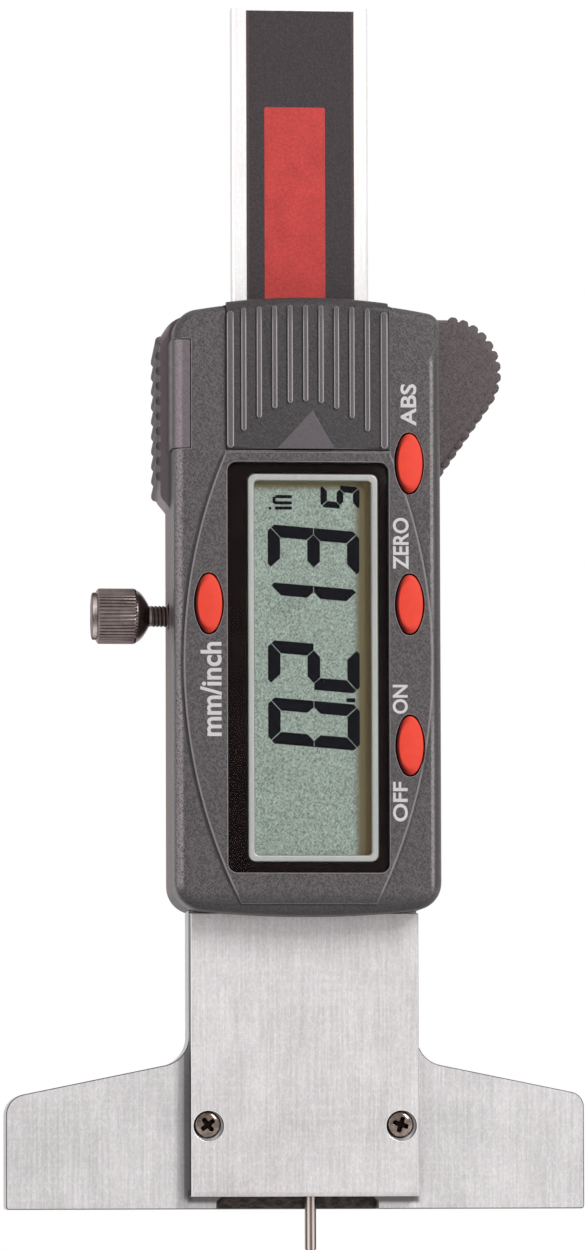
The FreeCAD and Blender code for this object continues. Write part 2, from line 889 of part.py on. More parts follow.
def rear_housing():
    shell = break_rim(housing_slab(split_y, housing_back_y), housing_back_y, back_break)
    shell = shell.fuse(grip_pad())
    shell = shell.fuse([grip_ridge(index) for index in range(ridge_count)])
    shell = shell.fuse(thumb_rest())
    pocket = box(-pocket_half, pocket_half, split_y - overrun, frame_back_y, 0, stem_height)
    slot_half = beam_half + gib_thick
    beam_slot = box(-slot_half, slot_half, split_y - overrun, channel_floor_y,
                    stem_height - overrun, housing_top_height + overrun)
    shell = shell.cut(pocket).cut(beam_slot)
    for x, z in screw_places():
        hole = rod_y(screw_dia / 2 + screw_hole_gap, x, frame_back_y - overrun,
                     housing_back_y + overrun, z)
        seat = rod_y(screw_head_dia / 2 + screw_hole_gap, x, housing_back_y - screw_head_height,
                     housing_back_y + overrun, z)
        shell = shell.cut(hole).cut(seat)
    lock_hole = rod_x(lock_dia / 2 + lock_hole_gap, -housing_half - grip_stand - overrun,
                      overrun - pocket_half, 0, lock_height)
    return shell.cut(lock_hole)


def housing_screws():
    screws = []
    for x, z in screw_places():
        seat = housing_back_y - screw_head_height
        head = rod_y(screw_head_dia / 2, x, seat, housing_back_y, z)
        shank = rod_y(screw_dia / 2, x, board_front_y - screw_grip, seat, z)
        screws.append(head.fuse(shank))
    return Part.makeCompound(screws)


def display_lens():
    half = window_width / 2 - lens_gap
    return rounded_slab(-half, half, panel_front_y, lens_back_y, window_low_z + lens_gap,
                        window_top_z - lens_gap, window_corner - lens_gap)


def ring_half_width():
    return view_width / 2 + ring_width


def ring_half_length():
    return view_length / 2 + ring_width


def lens_mask():
    half = window_width / 2 - lens_gap
    border = rounded_slab(-half, half, lens_back_y, mask_back_y, window_low_z + lens_gap,
                          window_top_z - lens_gap, window_corner - lens_gap)
    opening = rounded_slab(view_offset - ring_half_width(), view_offset + ring_half_width(),
                           lens_back_y - overrun, mask_back_y + overrun,
                           window_middle_z - ring_half_length(),
                           window_middle_z + ring_half_length(), view_corner + ring_width / 2)
    return border.cut(opening)


def lcd_frame():
    # A bright ring with a wider foot that rests on the glass
    ring = rounded_slab(view_offset - ring_half_width() + ring_gap,
                        view_offset + ring_half_width() - ring_gap, lens_back_y, ring_back_y,
                        window_middle_z - ring_half_length() + ring_gap,
                        window_middle_z + ring_half_length() - ring_gap,
                        view_corner + ring_width / 2)
    opening = rounded_slab(view_offset - view_width / 2, view_offset + view_width / 2,
                           lens_back_y - overrun, ring_back_y + overrun,
                           window_middle_z - view_length / 2, window_middle_z + view_length / 2,
                           view_corner)
    return ring.cut(opening)


def glass_half_width():
    return view_width / 2 + glass_margin + ring_width


def glass_half_length():
    return view_length / 2 + glass_margin


def lcd_panel():
    return box(view_offset - glass_half_width(), view_offset + glass_half_width(), ring_back_y,
               glass_back_y, window_middle_z - glass_half_length(),
               window_middle_z + glass_half_length())


def zebra_strip():
    left = view_offset - glass_half_width() + zebra_inset
    half = glass_half_length() - zebra_end_inset
    return box(left, left + zebra_width, glass_back_y, board_front_y,
               window_middle_z - half, window_middle_z + half)


def circuit_board():
    half = pocket_half - board_side_gap
    board = box(-half, half, board_front_y, frame_front_y, housing_low_height + board_low_gap,
                stem_height - board_top_gap)
    for x, z in screw_places():
        side = x / abs(x)
        reach = screw_dia / 2 + board_notch_gap
        notch = box(x - side * reach, side * (half + overrun), board_front_y - overrun,
                    frame_front_y + overrun, z - reach, z + reach)
        board = board.cut(notch)
    return board


def chip_cover():
    # A low dome of epoxy: the cap of a sphere as wide as the drop
    radius = (chip_dia * chip_dia / 4 + chip_thick * chip_thick) / (2 * chip_thick)
    centre = FreeCAD.Vector(0, board_front_y + radius - chip_thick, chip_height)
    ball = Part.makeSphere(radius, centre)
    keep = box(-chip_dia, chip_dia, board_front_y - 2 * chip_thick, board_front_y,
               chip_height - chip_dia, chip_height + chip_dia)
    return ball.common(keep)


def clock_crystal():
    # A small can that lies on the board, flattened where it is glued down
    top = crystal_low_z + crystal_length
    can = rod_z(crystal_dia / 2, crystal_side, board_front_y - crystal_dia / 2 + crystal_sink,
                crystal_low_z, top)
    behind = box(crystal_side - crystal_dia, crystal_side + crystal_dia, board_front_y,
                 board_front_y + crystal_dia, crystal_low_z - overrun, top + overrun)
    return can.cut(behind)


def trimmed_square(x, z, half, y):
    # The outline of a square whose corners are cut off
    short = half * dome_trim_share
    corners = [(half, short), (short, half), (-short, half), (-half, short),
               (-half, -short), (-short, -half), (short, -half), (half, -short)]
    points = [FreeCAD.Vector(x + across, y, z + up) for across, up in corners]
    return Part.makePolygon(points + points[:1])


def key_domes():
    # Snap domes, each pressed from a trimmed square of sheet
    domes = []
    for name, x, z in key_places():
        outline = Part.Face(trimmed_square(x, z, dome_width / 2, board_front_y))
        dome = outline.extrude(FreeCAD.Vector(0, -dome_height, 0))
        domes.append(break_rim(dome, board_front_y - dome_height, dome_slope))
    return Part.makeCompound(domes)


def key(x, z):
    front = panel_front_y - key_proud
    flange_front = shell_inner_y + key_flange_gap
    flange_back = flange_front + key_flange_thick
    post_end = board_front_y - dome_height - key_travel - key_rest_gap
    cap = oval(x, z, key_width, key_length, front, flange_front)
    rim = [edge for edge in cap.Edges if flat_level(edge, front)]
    cap = cap.makeChamfer(key_crown, rim)
    wide = key_flange_width / 2
    tall = key_flange_length / 2
    flange = box(x - wide, x + wide, flange_front, flange_back, z - tall, z + tall)
    foot = key_post_width / 2
    post = box(x - foot, x + foot, flange_back, post_end, z - foot, z + foot)
    return cap.fuse(flange).fuse(post).removeSplitter()


def battery_cover():
    high = housing_top_height + cover_top_rise
    low = cover_low_z + cover_end_gap
    plate = housing_slab(panel_front_y, cover_inner_y)
    plate.translate(front_point(0, cover_top_rise))
    plate = plate.common(box(-cover_half, cover_half, panel_front_y, cover_inner_y, low, high))
    plate = soft_rim(plate, panel_front_y, front_round, high - top_arch)
    outline = housing_slab(cover_inner_y - cover_tongue_thick, cover_inner_y)
    tongues = outline.common(box(-tongue_half, tongue_half, cover_inner_y - cover_tongue_thick,
                                 cover_inner_y, low, high))
    cover = plate.fuse(tongues).removeSplitter()
    relief = [cover_rib(index) for index in range(cover_rib_count)]
    relief += [cover_rail(side) for side in (-1, 1)]
    relief.append(cover_arrow(low))
    return cover.fuse(relief).removeSplitter()


def cover_bar(x, width, low, top_gap):
    # One upright bar on the cover with clipped ends, which runs up to the arched top
    half = width / 2
    clip = half * cover_rib_clip_share
    top = arch_height(x, housing_half, housing_top_height - top_arch, top_arch)
    top += cover_top_rise - top_gap
    corners = [(x - half, low + clip, 0), (x - half + clip, low, 0), (x + half - clip, low, 0),
               (x + half, low + clip, 0), (x + half, top - clip, 0), (x + half - clip, top, 0),
               (x - half + clip, top, 0), (x - half, top - clip, 0)]
    return slab(rounded_edges(corners), panel_front_y - cover_rib_rise,
                panel_front_y + cover_rib_rise)


def cover_rib(index):
    # The ribs' lower ends lie on a shallow arch, lowest at both sides
    run = (index - (cover_rib_count - 1) / 2) * cover_rib_pitch
    reach = (cover_rib_count - 1) / 2 * cover_rib_pitch
    low = cover_low_z + cover_rib_low_middle
    low -= (cover_rib_low_middle - cover_rib_low_side) * (run / reach) ** 2
    return cover_bar(run + cover_rib_shift, cover_rib_width, low, cover_rib_top_gap)


def cover_rail(side):
    x = side * cover_rail_reach + cover_rail_shift
    return cover_bar(x, cover_rail_width, cover_low_z + cover_rail_low_gap, cover_rail_top_gap)


def cover_arrow(low):
    left = cover_rib_shift - cover_arrow_width / 2
    right = cover_rib_shift + cover_arrow_width / 2
    corners = [(left, low, 0), (right, low, 0), (cover_arrow_lean, low + cover_arrow_height, 0)]
    return slab(rounded_edges(corners), panel_front_y - cover_arrow_rise,
                panel_front_y + cover_arrow_rise)


def battery_back_y():
    return board_front_y - battery_seat


def battery():
    back = battery_back_y()
    can = rod_y(battery_dia / 2, 0, back - battery_thick, back - battery_step_thick,
                battery_height)
    step = rod_y(battery_dia / 2 - battery_step, 0, back - battery_step_thick, back,
                 battery_height)
    return can.fuse(step)


def battery_contact_minus():
    # A leaf on the board with a raised pad under the middle of the cell
    half = contact_width / 2
    foot = box(-half, half, board_front_y - contact_sheet, board_front_y,
               battery_height - contact_foot, battery_height + contact_foot)
    pad = rod_y(half / 2, 0, battery_back_y(), board_front_y - contact_sheet, battery_height)
    return foot.fuse(pad).removeSplitter()


def battery_contact_plus():
    # An angle that stands on the board beside the rim of the cell
    half = contact_width / 2
    side = battery_height - battery_dia / 2
    wall = box(-half, half, board_front_y, battery_back_y() - battery_thick / 2 - contact_sheet,
               side - contact_sheet, side)
    foot = box(-half, half, board_front_y - contact_sheet, board_front_y,
               side - contact_sheet - contact_foot / 2, side)
    return wall.fuse(foot).removeSplitter()


def data_contacts():
    pads = []
    left = board_side_gap - pocket_half
    middle = (port_low_height + port_top_z) / 2
    for index in range(pad_count):
        z = middle + (index - (pad_count - 1) / 2) * pad_pitch
        pads.append(box(left, left + pad_length, board_front_y - pad_thick, board_front_y,
                        z - pad_width / 2, z + pad_width / 2))
    return Part.makeCompound(pads)


def lock_screw():
    # A turned head with a domed shoulder, then a thread and a plain nose
    neck = -housing_half - lock_neck_length
    dome = neck - lock_dome_length
    end = dome - lock_drum_length
    drum = lock_drum_dia / 2
    cap = lock_cap_dia / 2
    profile = [(end - lock_cap_length, 0), (end - lock_cap_length, cap), (end, cap),
               (end, drum - lock_drum_break), (end + lock_drum_break, drum)]
    profile += [(dome + lock_dome_length * along, drum * out) for along, out in lock_dome_shares]
    profile += [(neck, 0)]
    points = [front_point(x, lock_height + out) for x, out in profile]
    outline = Part.Face(Part.makePolygon(points + points[:1]))
    head = outline.revolve(front_point(0, lock_height), FreeCAD.Vector(1, 0, 0), 360)
    tip = gib_left_x + gib_dimple - lock_tip_gap
    shoulder = tip - lock_tip_length
    thread = rod_x(lock_dia / 2, neck, shoulder, 0, lock_height)
    nose = rod_x(lock_tip_dia / 2, shoulder, tip, 0, lock_height)
    return thread.fuse(nose).fuse(head).removeSplitter()


def all_parts():
    parts = {
        "base_frame": base_frame(),
        "cover_plate": cover_plate(),
        "plate_screws": plate_screws(),
        "beam": beam(),
        "beam_scale": beam_scale(),
        "probe_rod": probe_rod(),
        "stop_pin": stop_pin(),
        "gib_strip": gib_strip(),
        "lock_screw": lock_screw(),
        "front_housing": front_housing(),
        "rear_housing": rear_housing(),
        "housing_screws": housing_screws(),
        "display_lens": display_lens(),
        "lens_mask": lens_mask(),
        "lcd_frame": lcd_frame(),
        "lcd_panel": lcd_panel(),
        "zebra_strip": zebra_strip(),
        "circuit_board": circuit_board(),
        "chip_cover": chip_cover(),
        "clock_crystal": clock_crystal(),
        "key_domes": key_domes(),
        "battery": battery(),
        "battery_contact_plus": battery_contact_plus(),
        "battery_contact_minus": battery_contact_minus(),
        "battery_cover": battery_cover(),
        "port_cover": port_cover(),
        "data_contacts": data_contacts(),
    }
    for name, x, z in key_places():
        parts[name] = key(x, z)
    return parts


os.makedirs("parts", exist_ok=True)
for node, shape in all_parts().items():
    shape.exportStep("parts/" + node + ".step")
    solids = [round(solid.Volume, 1) for solid in shape.Solids]
    print(node, "valid" if shape.isValid() else "NOT VALID", "solids", solids)
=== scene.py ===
import logging
import math
from dataclasses import dataclass, field
from enum import Enum
from typing import Iterable, Optional, Sequence, Union

import bmesh
import bpy
from mathutils import Matrix, Vector


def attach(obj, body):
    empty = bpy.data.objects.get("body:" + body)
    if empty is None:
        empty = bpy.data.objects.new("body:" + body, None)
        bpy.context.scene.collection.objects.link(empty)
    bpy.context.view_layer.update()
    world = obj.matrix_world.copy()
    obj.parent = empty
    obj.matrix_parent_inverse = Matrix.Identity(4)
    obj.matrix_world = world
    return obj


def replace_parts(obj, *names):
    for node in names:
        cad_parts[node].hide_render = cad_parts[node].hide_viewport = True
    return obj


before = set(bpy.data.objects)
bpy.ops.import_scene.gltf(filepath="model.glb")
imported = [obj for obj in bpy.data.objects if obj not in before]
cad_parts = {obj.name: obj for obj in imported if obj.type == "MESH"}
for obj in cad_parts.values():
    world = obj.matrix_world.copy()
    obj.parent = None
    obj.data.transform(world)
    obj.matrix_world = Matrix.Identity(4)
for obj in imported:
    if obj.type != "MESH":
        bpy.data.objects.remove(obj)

# Looks of a digital depth gauge: a ground steel T, a moulded display head and a sliding beam.
# Sizes are written in millimetres and turned into metres where a mesh is made.

MM = 0.001
SAME_POINT = 1e-7
SAME_SOLID_POINT = 2e-6
FLAT_DEGREES = 0.6
SMOOTH_BELOW = 32.0
SMOOTH_BROKEN = 36.0
SMOOTH_COPIES = 30.0
BROKEN_ABOVE = 38.0
GRAIN_MEAN = 0.64
LOG = logging.getLogger("depth_gauge")
Point = tuple[float, float, float]
Flat = tuple[float, float]
Colour = tuple[float, float, float]
WHITE: Colour = (1.0, 1.0, 1.0)


class Axis(Enum):
    """The axis that a turned piece is spun about."""

    X = 0
    Y = 1
    Z = 2


class Body(str, Enum):
    """The bodies of the gauge that pieces ride on."""

    FRAME = "frame"
    BEAM = "beam"
    GIB = "gib"
    LOCK = "lock_screw"
    COVER = "battery_cover"
    PORT = "port_cover"
    ABS = "key_abs"
    ZERO = "key_zero"
    ON_OFF = "key_on_off"
    UNITS = "key_mm_inch"


# ---- shader sums -------------------------------------------------------------------------


class Num:
    """A value socket that Python's operators work on by adding Math nodes."""

    def __init__(self, graph: "Graph", socket: bpy.types.NodeSocket) -> None:
        """Keeps the socket and the graph that it is in."""
        self.graph = graph
        self.socket = socket

    def _sum(self, operation: str, *values: "Value") -> "Num":
        """Adds one Math node."""
        node = self.graph.node("ShaderNodeMath", {"operation": operation}, *values)
        return Num(self.graph, node.outputs[0])

    def __add__(self, other: "Value") -> "Num":
        """self + other."""
        return self._sum("ADD", self, other)

    __radd__ = __add__

    def __sub__(self, other: "Value") -> "Num":
        """self - other."""
        return self._sum("SUBTRACT", self, other)

    def __rsub__(self, other: "Value") -> "Num":
        """other - self."""
        return self._sum("SUBTRACT", other, self)

    def __mul__(self, other: "Value") -> "Num":
        """self * other."""
        return self._sum("MULTIPLY", self, other)

    __rmul__ = __mul__

    def __truediv__(self, other: "Value") -> "Num":
        """self / other."""
        return self._sum("DIVIDE", self, other)

    def __pow__(self, other: "Value") -> "Num":
        """self to the power of other."""
        return self._sum("POWER", self, other)

    def __abs__(self) -> "Num":
        """The size of self."""
        return self._sum("ABSOLUTE", self)

    def least(self, other: "Value") -> "Num":
        """The smaller of self and other."""
        return self._sum("MINIMUM", self, other)

    def most(self, other: "Value") -> "Num":
        """The larger of self and other."""
        return self._sum("MAXIMUM", self, other)

    def clipped(self) -> "Num":
        """Self, held between 0 and 1."""
        return self.most(0.0).least(1.0)

    def whole(self) -> "Num":
        """The nearest whole number."""
        return self._sum("ROUND", self)

    def sine(self) -> "Num":
        """The sine of self."""
        return self._sum("SINE", self)

    def turned(self, other: "Value") -> "Num":
        """The angle of the point (other, self)."""
        return self._sum("ARCTAN2", self, other)

    def ease(self, low: float, high: float) -> "Num":
        """0 below low, 1 above high and a smooth step between.

        Args:
            low: where the step starts.
            high: where the step ends; it may lie below low for a falling step.

        Returns:
            The stepped value.
        """
        rising = high > low
        node = self.graph.node("ShaderNodeMapRange", {"interpolation_type": "SMOOTHSTEP"},
                               self, min(low, high), max(low, high),
                               0.0 if rising else 1.0, 1.0 if rising else 0.0)
        return Num(self.graph, node.outputs[0])


Value = Union[Num, float, int]


class Graph:
    """The node tree of one material or world, and the calls that fill it."""

    def __init__(self, name: str, kind: str = "materials") -> None:
        """Makes an empty one of that name.

        Args:
            name: its name.
            kind: "materials" or "worlds".
        """
        self.owner = getattr(bpy.data, kind).new(name)
        self.owner.use_nodes = True
        self.tree = self.owner.node_tree
        self.tree.nodes.clear()

    def node(self, kind: str, settings: Optional[dict] = None, *values: object,
             **named: object) -> bpy.types.Node:
        """Adds any node: its settings first, then its sockets.

        Args:
            kind: the node's type.
            settings: the node's attributes.
            values: values or links for the sockets in order; None leaves one alone.
            named: values or links for sockets by name, with _ for a space.

        Returns:
            The node.
        """
        made = self.tree.nodes.new(kind)
        for key, value in (settings or {}).items():
            setattr(made, key, value)
        pairs = list(zip(made.inputs, values))
        pairs += [(made.inputs[name.replace("_", " ")], value) for name, value in named.items()]
        for socket, value in pairs:
            self.feed(socket, value)
        return made

    def feed(self, socket: bpy.types.NodeSocket, value: object) -> None:
        """Links or sets one socket.

        Args:
            socket: the input socket.
            value: what to link or set; None leaves the socket alone.
        """
        if value is None:
            return
        if isinstance(value, Num):
            self.tree.links.new(value.socket, socket)
        elif isinstance(value, bpy.types.NodeSocket):
            self.tree.links.new(value, socket)
        elif isinstance(value, tuple) and socket.type == "RGBA":
            socket.default_value = (*value, 1.0)
        else:
            socket.default_value = value

    def place(self, scale: Point = (1.0, 1.0, 1.0), turn: Point = (0.0, 0.0, 0.0)
              ) -> bpy.types.NodeSocket:
        """The place on the piece in millimetres, stretched and turned.

        Args:
            scale: how many units a millimetre counts for on each axis.
            turn: rotation about each axis, in radians.

        Returns:
            A vector socket.
        """
        where = self.node("ShaderNodeTexCoord").outputs["Object"]
        mapped = self.node("ShaderNodeMapping", {"vector_type": "TEXTURE"}, where,
                           (0.0, 0.0, 0.0), turn)
        stretched = self.node("ShaderNodeVectorMath", {"operation": "MULTIPLY"},
                              mapped.outputs[0], tuple(s / MM for s in scale))
        return stretched.outputs[0]

    def along(self) -> tuple[Num, Num, Num]:
        """The three coordinates on the piece.

        Returns:
            x, y and z in millimetres.
        """
        split = self.node("ShaderNodeSeparateXYZ", None, self.place())
        return tuple(Num(self, split.outputs[index]) for index in range(3))

    def noise(self, where: bpy.types.NodeSocket, scale: float, detail: float = 2.0,
              rough: float = 0.5) -> Num:
        """Soft noise.

        Args:
            where: the place, as a vector socket.
            scale: bumps a unit.
            detail: finer octaves added.
            rough: how strong these are.

        Returns:
            A value from 0 to 1, about 0.5 in the middle.
        """
        node = self.node("ShaderNodeTexNoise", None, Vector=where, Scale=scale, Detail=detail,
                         Roughness=rough)
        return Num(self, node.outputs[0])

    def weave(self, scale: Point, rise: float, fall: float) -> Num:
        """Two crossing sets of slanted threads.

        Args:
            scale: how many units a millimetre counts for on each axis.
            rise: the slant of one set, in degrees.
            fall: the slant of the other.

        Returns:
            A height of about 0 to 1.
        """
        up, down = (self.noise(self.place(scale, (0.0, math.radians(slant), 0.0)), 1.0, 2.0, 0.7)
                    for slant in (rise, fall))
        return up.most(down)

    def cells(self, where: bpy.types.NodeSocket, scale: float) -> Num:
        """Distance to the nearest of scattered points."""
        node = self.node("ShaderNodeTexVoronoi", {"feature": "F1"}, Vector=where, Scale=scale)
        return Num(self, node.outputs["Distance"])

    def mix(self, share: Value, first: object, second: object) -> bpy.types.NodeSocket:
        """A colour between two colours.

        Args:
            share: how much of the second there is.
            first: a colour or a colour socket.
            second: another.

        Returns:
            The colour socket.
        """
        node = self.node("ShaderNodeMix", {"data_type": "RGBA"})
        self.feed(node.inputs[0], share)
        self.feed(node.inputs[6], first)
        self.feed(node.inputs[7], second)
        return node.outputs[2]

    def relief(self, height: Num, depth: float) -> bpy.types.NodeSocket:
        """A normal bent by a height.

        Args:
            height: the height, about 0 to 1.
            depth: what a height of 1 stands for, in millimetres.

        Returns:
            The normal socket.
        """
        node = self.node("ShaderNodeBump", None, Strength=1.0, Distance=depth * MM, Height=height)
        return node.outputs[0]

    def finish(self, **sockets: object) -> bpy.types.Material:
        """Ends the tree in one Principled surface with these sockets."""
        surface = self.node("ShaderNodeBsdfPrincipled", None, **sockets)
        return self.close(surface.outputs[0])

    def close(self, shader: bpy.types.NodeSocket) -> bpy.types.Material:
        """Links a shader to the material's output."""
        self.node("ShaderNodeOutputMaterial", None, Surface=shader)
        return self.owner

    def seen(self) -> Num:
        """Tells the rays that show a background from those that light the object.

        Returns:
            1 for camera, mirror and see-through rays, otherwise 0.
        """
        path = self.node("ShaderNodeLightPath")
        camera, glossy, through = (Num(self, path.outputs[f"Is {kind} Ray"])
                                   for kind in ("Camera", "Glossy", "Transmission"))
        return camera.most(glossy).most(through)


# ---- finishes ----------------------------------------------------------------------------


def scaled(colour: Colour, factor: float, lift: float = 0.0) -> Colour:
    """A colour made darker or lighter, held to 1."""
    return tuple(min(1.0, c * factor + lift) for c in colour)


@dataclass(frozen=True)
class Sheen:
    """A lit or shaded band that runs up a piece at one place across it."""

    middle: float
    half: float
    colour: Colour
    low: float = 41.0
    high: float = 118.0
    beads: float = 0.0
    front: float = -8.8
    fade: float = 1.5

    def over(self, g: Graph, colour: bpy.types.NodeSocket, grain: Num) -> bpy.types.NodeSocket:
        """Lays the band over a colour; beads break it up with the grain.

        Args:
            g: the material's graph.
            colour: the colour under the band.
            grain: the plastic's height, about 0 to 1.

        Returns:
            The colour with the band.
        """
        x, y, z = g.along()
        share = (abs(x - self.middle).ease(self.half, self.half * 0.3)
                 * y.ease(self.front + 0.6, self.front)
                 * z.ease(self.low, self.low + self.fade)
                 * z.ease(self.high, self.high - self.fade))
        if self.beads:
            share = share * ((grain - GRAIN_MEAN) * (4.0 * self.beads) + 0.75).clipped()
        return g.mix(share, colour, self.colour)


@dataclass(frozen=True)
class PanelEdge:
    """The step round the raised panel: a painted highlight line with a painted shade line outside
    it.
    """

    top: Flat = (10.8, 98.85)
    waist: Flat = (16.35, 73.12)
    low: Flat = (8.9, 39.7)
    shade: Colour = (0.014, 0.012, 0.0125)
    highlight_line: Colour = (0.30, 0.272, 0.278)

    def circle(self) -> tuple[float, float, float]:
        """The arc through the three points on the right side.

        Returns:
            x and z of its centre, and its radius.
        """
        (ax, az), (bx, bz), (cx, cz) = self.top, self.waist, self.low
        twice = 2.0 * (ax * (bz - cz) + bx * (cz - az) + cx * (az - bz))
        a, b, c = ax * ax + az * az, bx * bx + bz * bz, cx * cx + cz * cz
        x = (a * (bz - cz) + b * (cz - az) + c * (az - bz)) / twice
        z = (a * (cx - bx) + b * (ax - cx) + c * (bx - ax)) / twice
        return x, z, math.hypot(ax - x, az - z)

    def over(self, g: Graph, colour: bpy.types.NodeSocket) -> bpy.types.NodeSocket:
        """Lays both lines over a colour.

        Args:
            g: the material's graph.
            colour: the colour under them.

        Returns:
            The colour with the lines.
        """
        middle_x, middle_z, radius = self.circle()
        x, y, z = g.along()
        across, rise = abs(x) - middle_x, z - middle_z
        out = (across * across + rise * rise) ** 0.5 - radius
        ends = (z.ease(self.low[1], self.low[1] + 3.0)
                * z.ease(self.top[1] + 0.3, self.top[1] - 1.0) * y.ease(-9.6, -10.2))
        # Painted shade outside the step, stronger on the left, and a painted highlight line inside
        # it.
        dark = out.ease(0.0, 0.14) * out.ease(0.52, 0.30) * ends
        light = out.ease(-0.30, -0.18) * out.ease(0.06, -0.04) * ends
        shaded = g.mix(dark * (0.75 - x.ease(0.0, 1.0) * 0.45), colour, self.shade)
        return g.mix(light * 0.75, shaded, self.highlight_line)


@dataclass(frozen=True)
class RibShade:
    """The painted shade line that follows one side of each rib on the battery cover."""

    first: float = -0.3
    pitch: float = 2.03
    reach: float = 8.12
    foot: float = 105.6
    drop: float = 3.9
    shade: Colour = (0.012, 0.010, 0.0105)

    def over(self, g: Graph, colour: bpy.types.NodeSocket) -> bpy.types.NodeSocket:
        """Lays the lines over a colour.

        Args:
            g: the material's graph.
            colour: the colour under them.

        Returns:
            The colour with the lines.
        """
        x, _, z = g.along()
        run = ((x - self.first) / self.pitch).whole() * self.pitch
        aside = x - self.first - run
        low = (run / self.reach) * (run / self.reach) * (-self.drop) + self.foot
        below = (low + 0.34 - z).most(0.0)
        away = (aside * aside + below * below) ** 0.5
        line = (away.ease(0.56, 0.42) * away.ease(0.26, 0.34)
                * (aside - below * 0.4).ease(0.12, -0.1)
                * abs(run).ease(self.reach + 1.0, self.reach + 0.5) * z.ease(117.2, 115.6))
        return g.mix(line * 0.62, colour, self.shade)


@dataclass(frozen=True)
class MouldedPlastic:
    """Grey plastic moulded in a tool with fine criss-cross leather grain."""

    name: str
    colour: Colour
    contrast: float = 1.5
    depth: float = 0.05
    rough: float = 0.50
    proud: Optional[Colour] = None
    proud_level: float = -11.07
    seam_glint: Optional[tuple[float, float]] = None
    sheens: tuple[Sheen, ...] = ()
    ribs: Optional[RibShade] = None
    panel: Optional[PanelEdge] = None
    shade_span: Optional[tuple[float, float]] = None
    gloss: float = 0.3
    grain: Point = (5.2, 5.2, 1.8)
    seam_glint_colour: Colour = (0.75, 0.72, 0.71)

    def make(self) -> bpy.types.Material:
        """Builds the material; raised parts may take a lighter colour and a seam a painted broken
        highlight.

        Returns:
            The material.
        """
        g = Graph(self.name)
        fine = g.noise(g.place(), 4.5, 2.0, 0.6)
        slow = g.noise(g.place(), 0.12, 2.0, 0.6)
        height = g.weave(self.grain, 42, -42) * 0.8 + fine * 0.4
        shade = (height - GRAIN_MEAN) * (2.0 * self.contrast) + (slow - 0.5) * 0.35 + 0.5
        share = shade.clipped()
        colour = g.mix(share, scaled(self.colour, 0.62), scaled(self.colour, 1.42))
        # Raised parts take a lighter colour: on the battery cover, painted highlight on the rib
        # tops and rib edges.
        if self.proud is not None:
            above = g.along()[1].ease(self.proud_level + 0.04, self.proud_level - 0.02)
            calm = g.mix(share, scaled(self.proud, 0.88), scaled(self.proud, 1.12))
            colour = g.mix(above, colour, calm)
        # Painted highlight: a broken bright line along the seam where the shells meet.
        if self.seam_glint is not None:
            middle, half = self.seam_glint
            x, y, z = g.along()
            broken = g.noise(g.place((1.0, 1.0, 1.6)), 1.0, 3.0, 0.8).ease(0.42, 0.56)
            line = abs(x - middle).ease(half, half * 0.4) * y.ease(-2.9, -3.3) * broken
            colour = g.mix(line * z.ease(90.0, 94.0), colour, self.seam_glint_colour)
        # Painted highlight and painted shade bands.
        for band in self.sheens:
            colour = band.over(g, colour, height)
        # Painted shade beside the cover's ribs.
        if self.ribs is not None:
            colour = self.ribs.over(g, colour)
        # Painted highlight and painted shade lines round the raised panel.
        if self.panel is not None:
            colour = self.panel.over(g, colour)
        # Painted shade over a span of heights, darker towards one end of it.
        if self.shade_span is not None:
            low = g.along()[2].ease(self.shade_span[1], self.shade_span[0])
            colour = g.mix(low * 0.5, colour, scaled(self.colour, 0.15))
        return g.finish(Base_Color=colour, Roughness=(height * 0.2 + (self.rough - 0.12)),
                        Normal=g.relief(height, self.depth), Specular_IOR_Level=self.gloss)


